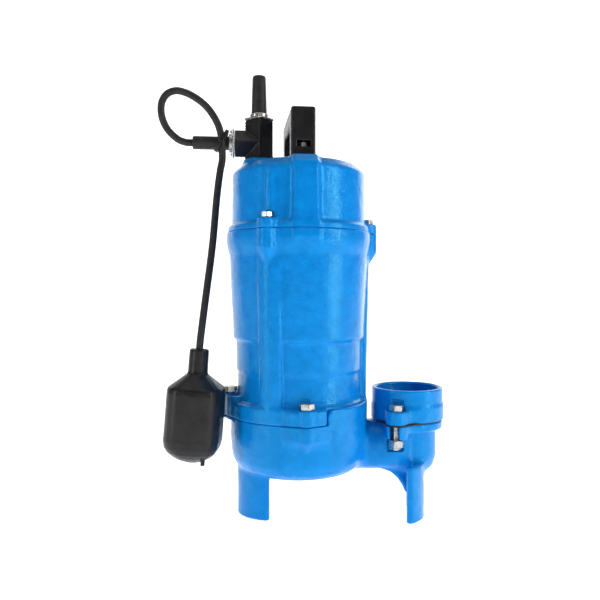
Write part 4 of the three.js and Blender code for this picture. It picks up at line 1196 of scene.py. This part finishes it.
SLEEVE_TOP = reach("power_sleeve")[1].z
SLEEVE_HOLE = 4.3
power_outline = [
    (0, POWER_PLATE + 0.3), (8.5, POWER_PLATE + 0.3), (8.6, 445), (8.5, 447), (8.05, 465),
    (7.5, SLEEVE_TOP - 2.6), (7.2, SLEEVE_TOP - 1), (6.6, SLEEVE_TOP),
    (4.9, SLEEVE_TOP), (SLEEVE_HOLE, SLEEVE_TOP - 0.6), (SLEEVE_HOLE, SLEEVE_TOP - 36), (0, SLEEVE_TOP - 36),
]
dress(sleeve("power_sleeve_rubber", power_outline, STOOD_UP), "black_rubber", "root", "power_sleeve")
SLEEVE_END = 73
float_outline = [
    (0, FLOAT_PLATE + 0.3), (8.5, FLOAT_PLATE + 0.3), (8.6, 33), (7.4, 34.4), (7.3, 52), (7.25, 71),
    (7, 72.3), (6.5, SLEEVE_END), (0, SLEEVE_END),
]
dress(sleeve("float_sleeve_rubber", float_outline, LAID_OUT), "black_rubber", "root", "float_sleeve")

tie_band, tie_lock = cable_tie()
dress(tie_band, "black_plastic", "root", "cable_tie")
dress(tie_lock, "black_plastic", "root")

float_shells = float_halves()
dress(float_shells[0], "black_plastic", "float", "float_half_front")
dress(float_shells[1], "black_plastic", "float", "float_half_rear")

dress(cord, "black_rubber", None, "float_cord_loop", "float_cord_tether")
PIVOT = Vector(FLOAT_PIVOT)
BEND_HALF = 6
metres(PIVOT + Vector((0, 0, BEND_HALF)))
metres(PIVOT - Vector((0, 0, BEND_HALF)))
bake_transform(cord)
cord_length = sum((b - a).length for a, b in zip(cord_route, cord_route[1:])) * MM
metres(CORD_LOOP[0])
[metres(p) for p in cord_route]

# ---------- Floor, backdrop and lights ----------


def studio():
    """A pale sweep: a floor that curves up behind the pump."""
    count = 24
    bend = 0.9
    back = 2.2
    line = [(-3.0, 0.0)]
    for k in range(count + 1):
        turn = math.pi / 2 * k / count
        line.append((back + bend * math.sin(turn), bend - bend * math.cos(turn)))
    line.append((back + bend, 4.0))
    mesh = bpy.data.meshes.new("studio_sweep")
    points = [(x, y, z) for x in (-4.0, 4.0) for y, z in line]
    faces = [(i, i + 1, len(line) + i + 1, len(line) + i) for i in range(len(line) - 1)]
    mesh.from_pydata(points, [], faces)
    mesh.shade_smooth()
    sweep = bpy.data.objects.new("studio_sweep", mesh)
    bpy.context.scene.collection.objects.link(sweep)
    look = Look(
        "studio_white", Metallic=0.0, Specular_IOR_Level=0.2,
        Emission_Color=(1, 1, 1, 1), Emission_Strength=0.85,
    )
    look.colour(look.noise(0.4), (0.3, (0.90, 0.90, 0.90)), (0.7, (0.93, 0.93, 0.93)))
    look.rough(look.noise(0.3), 0.7, 0.8)
    mesh.materials.append(look.material)


def softbox(name, spot, size, power, target=(0, 0, 0.22)):
    data = bpy.data.lights.new(name, "AREA")
    data.shape = "RECTANGLE"
    data.size, data.size_y = size
    data.energy = power
    light = bpy.data.objects.new(name, data)
    light.location = spot
    light.rotation_euler = (Vector(target) - Vector(spot)).to_track_quat("-Z", "Y").to_euler()
    bpy.context.scene.collection.objects.link(light)


def lights():
    world = bpy.data.worlds.new("studio_air")
    world.use_nodes = True
    world.node_tree.nodes["Background"].inputs["Color"].default_value = (1, 1, 1, 1)
    world.node_tree.nodes["Background"].inputs["Strength"].default_value = 0.18
    bpy.context.scene.world = world
    softbox("softbox_right", (1.05, -0.72, 0.5), (0.15, 1.2), 9)
    softbox("softbox_left", (-1.15, -0.62, 0.45), (0.07, 1.2), 4)
    softbox("softbox_above", (0.0, -0.2, 1.9), (1.6, 1.2), 5)
    softbox("softbox_behind", (0.9, 1.1, 0.7), (0.6, 1.4), 3)


studio()
lights()
bpy.context.scene.view_settings.view_transform = "Standard"
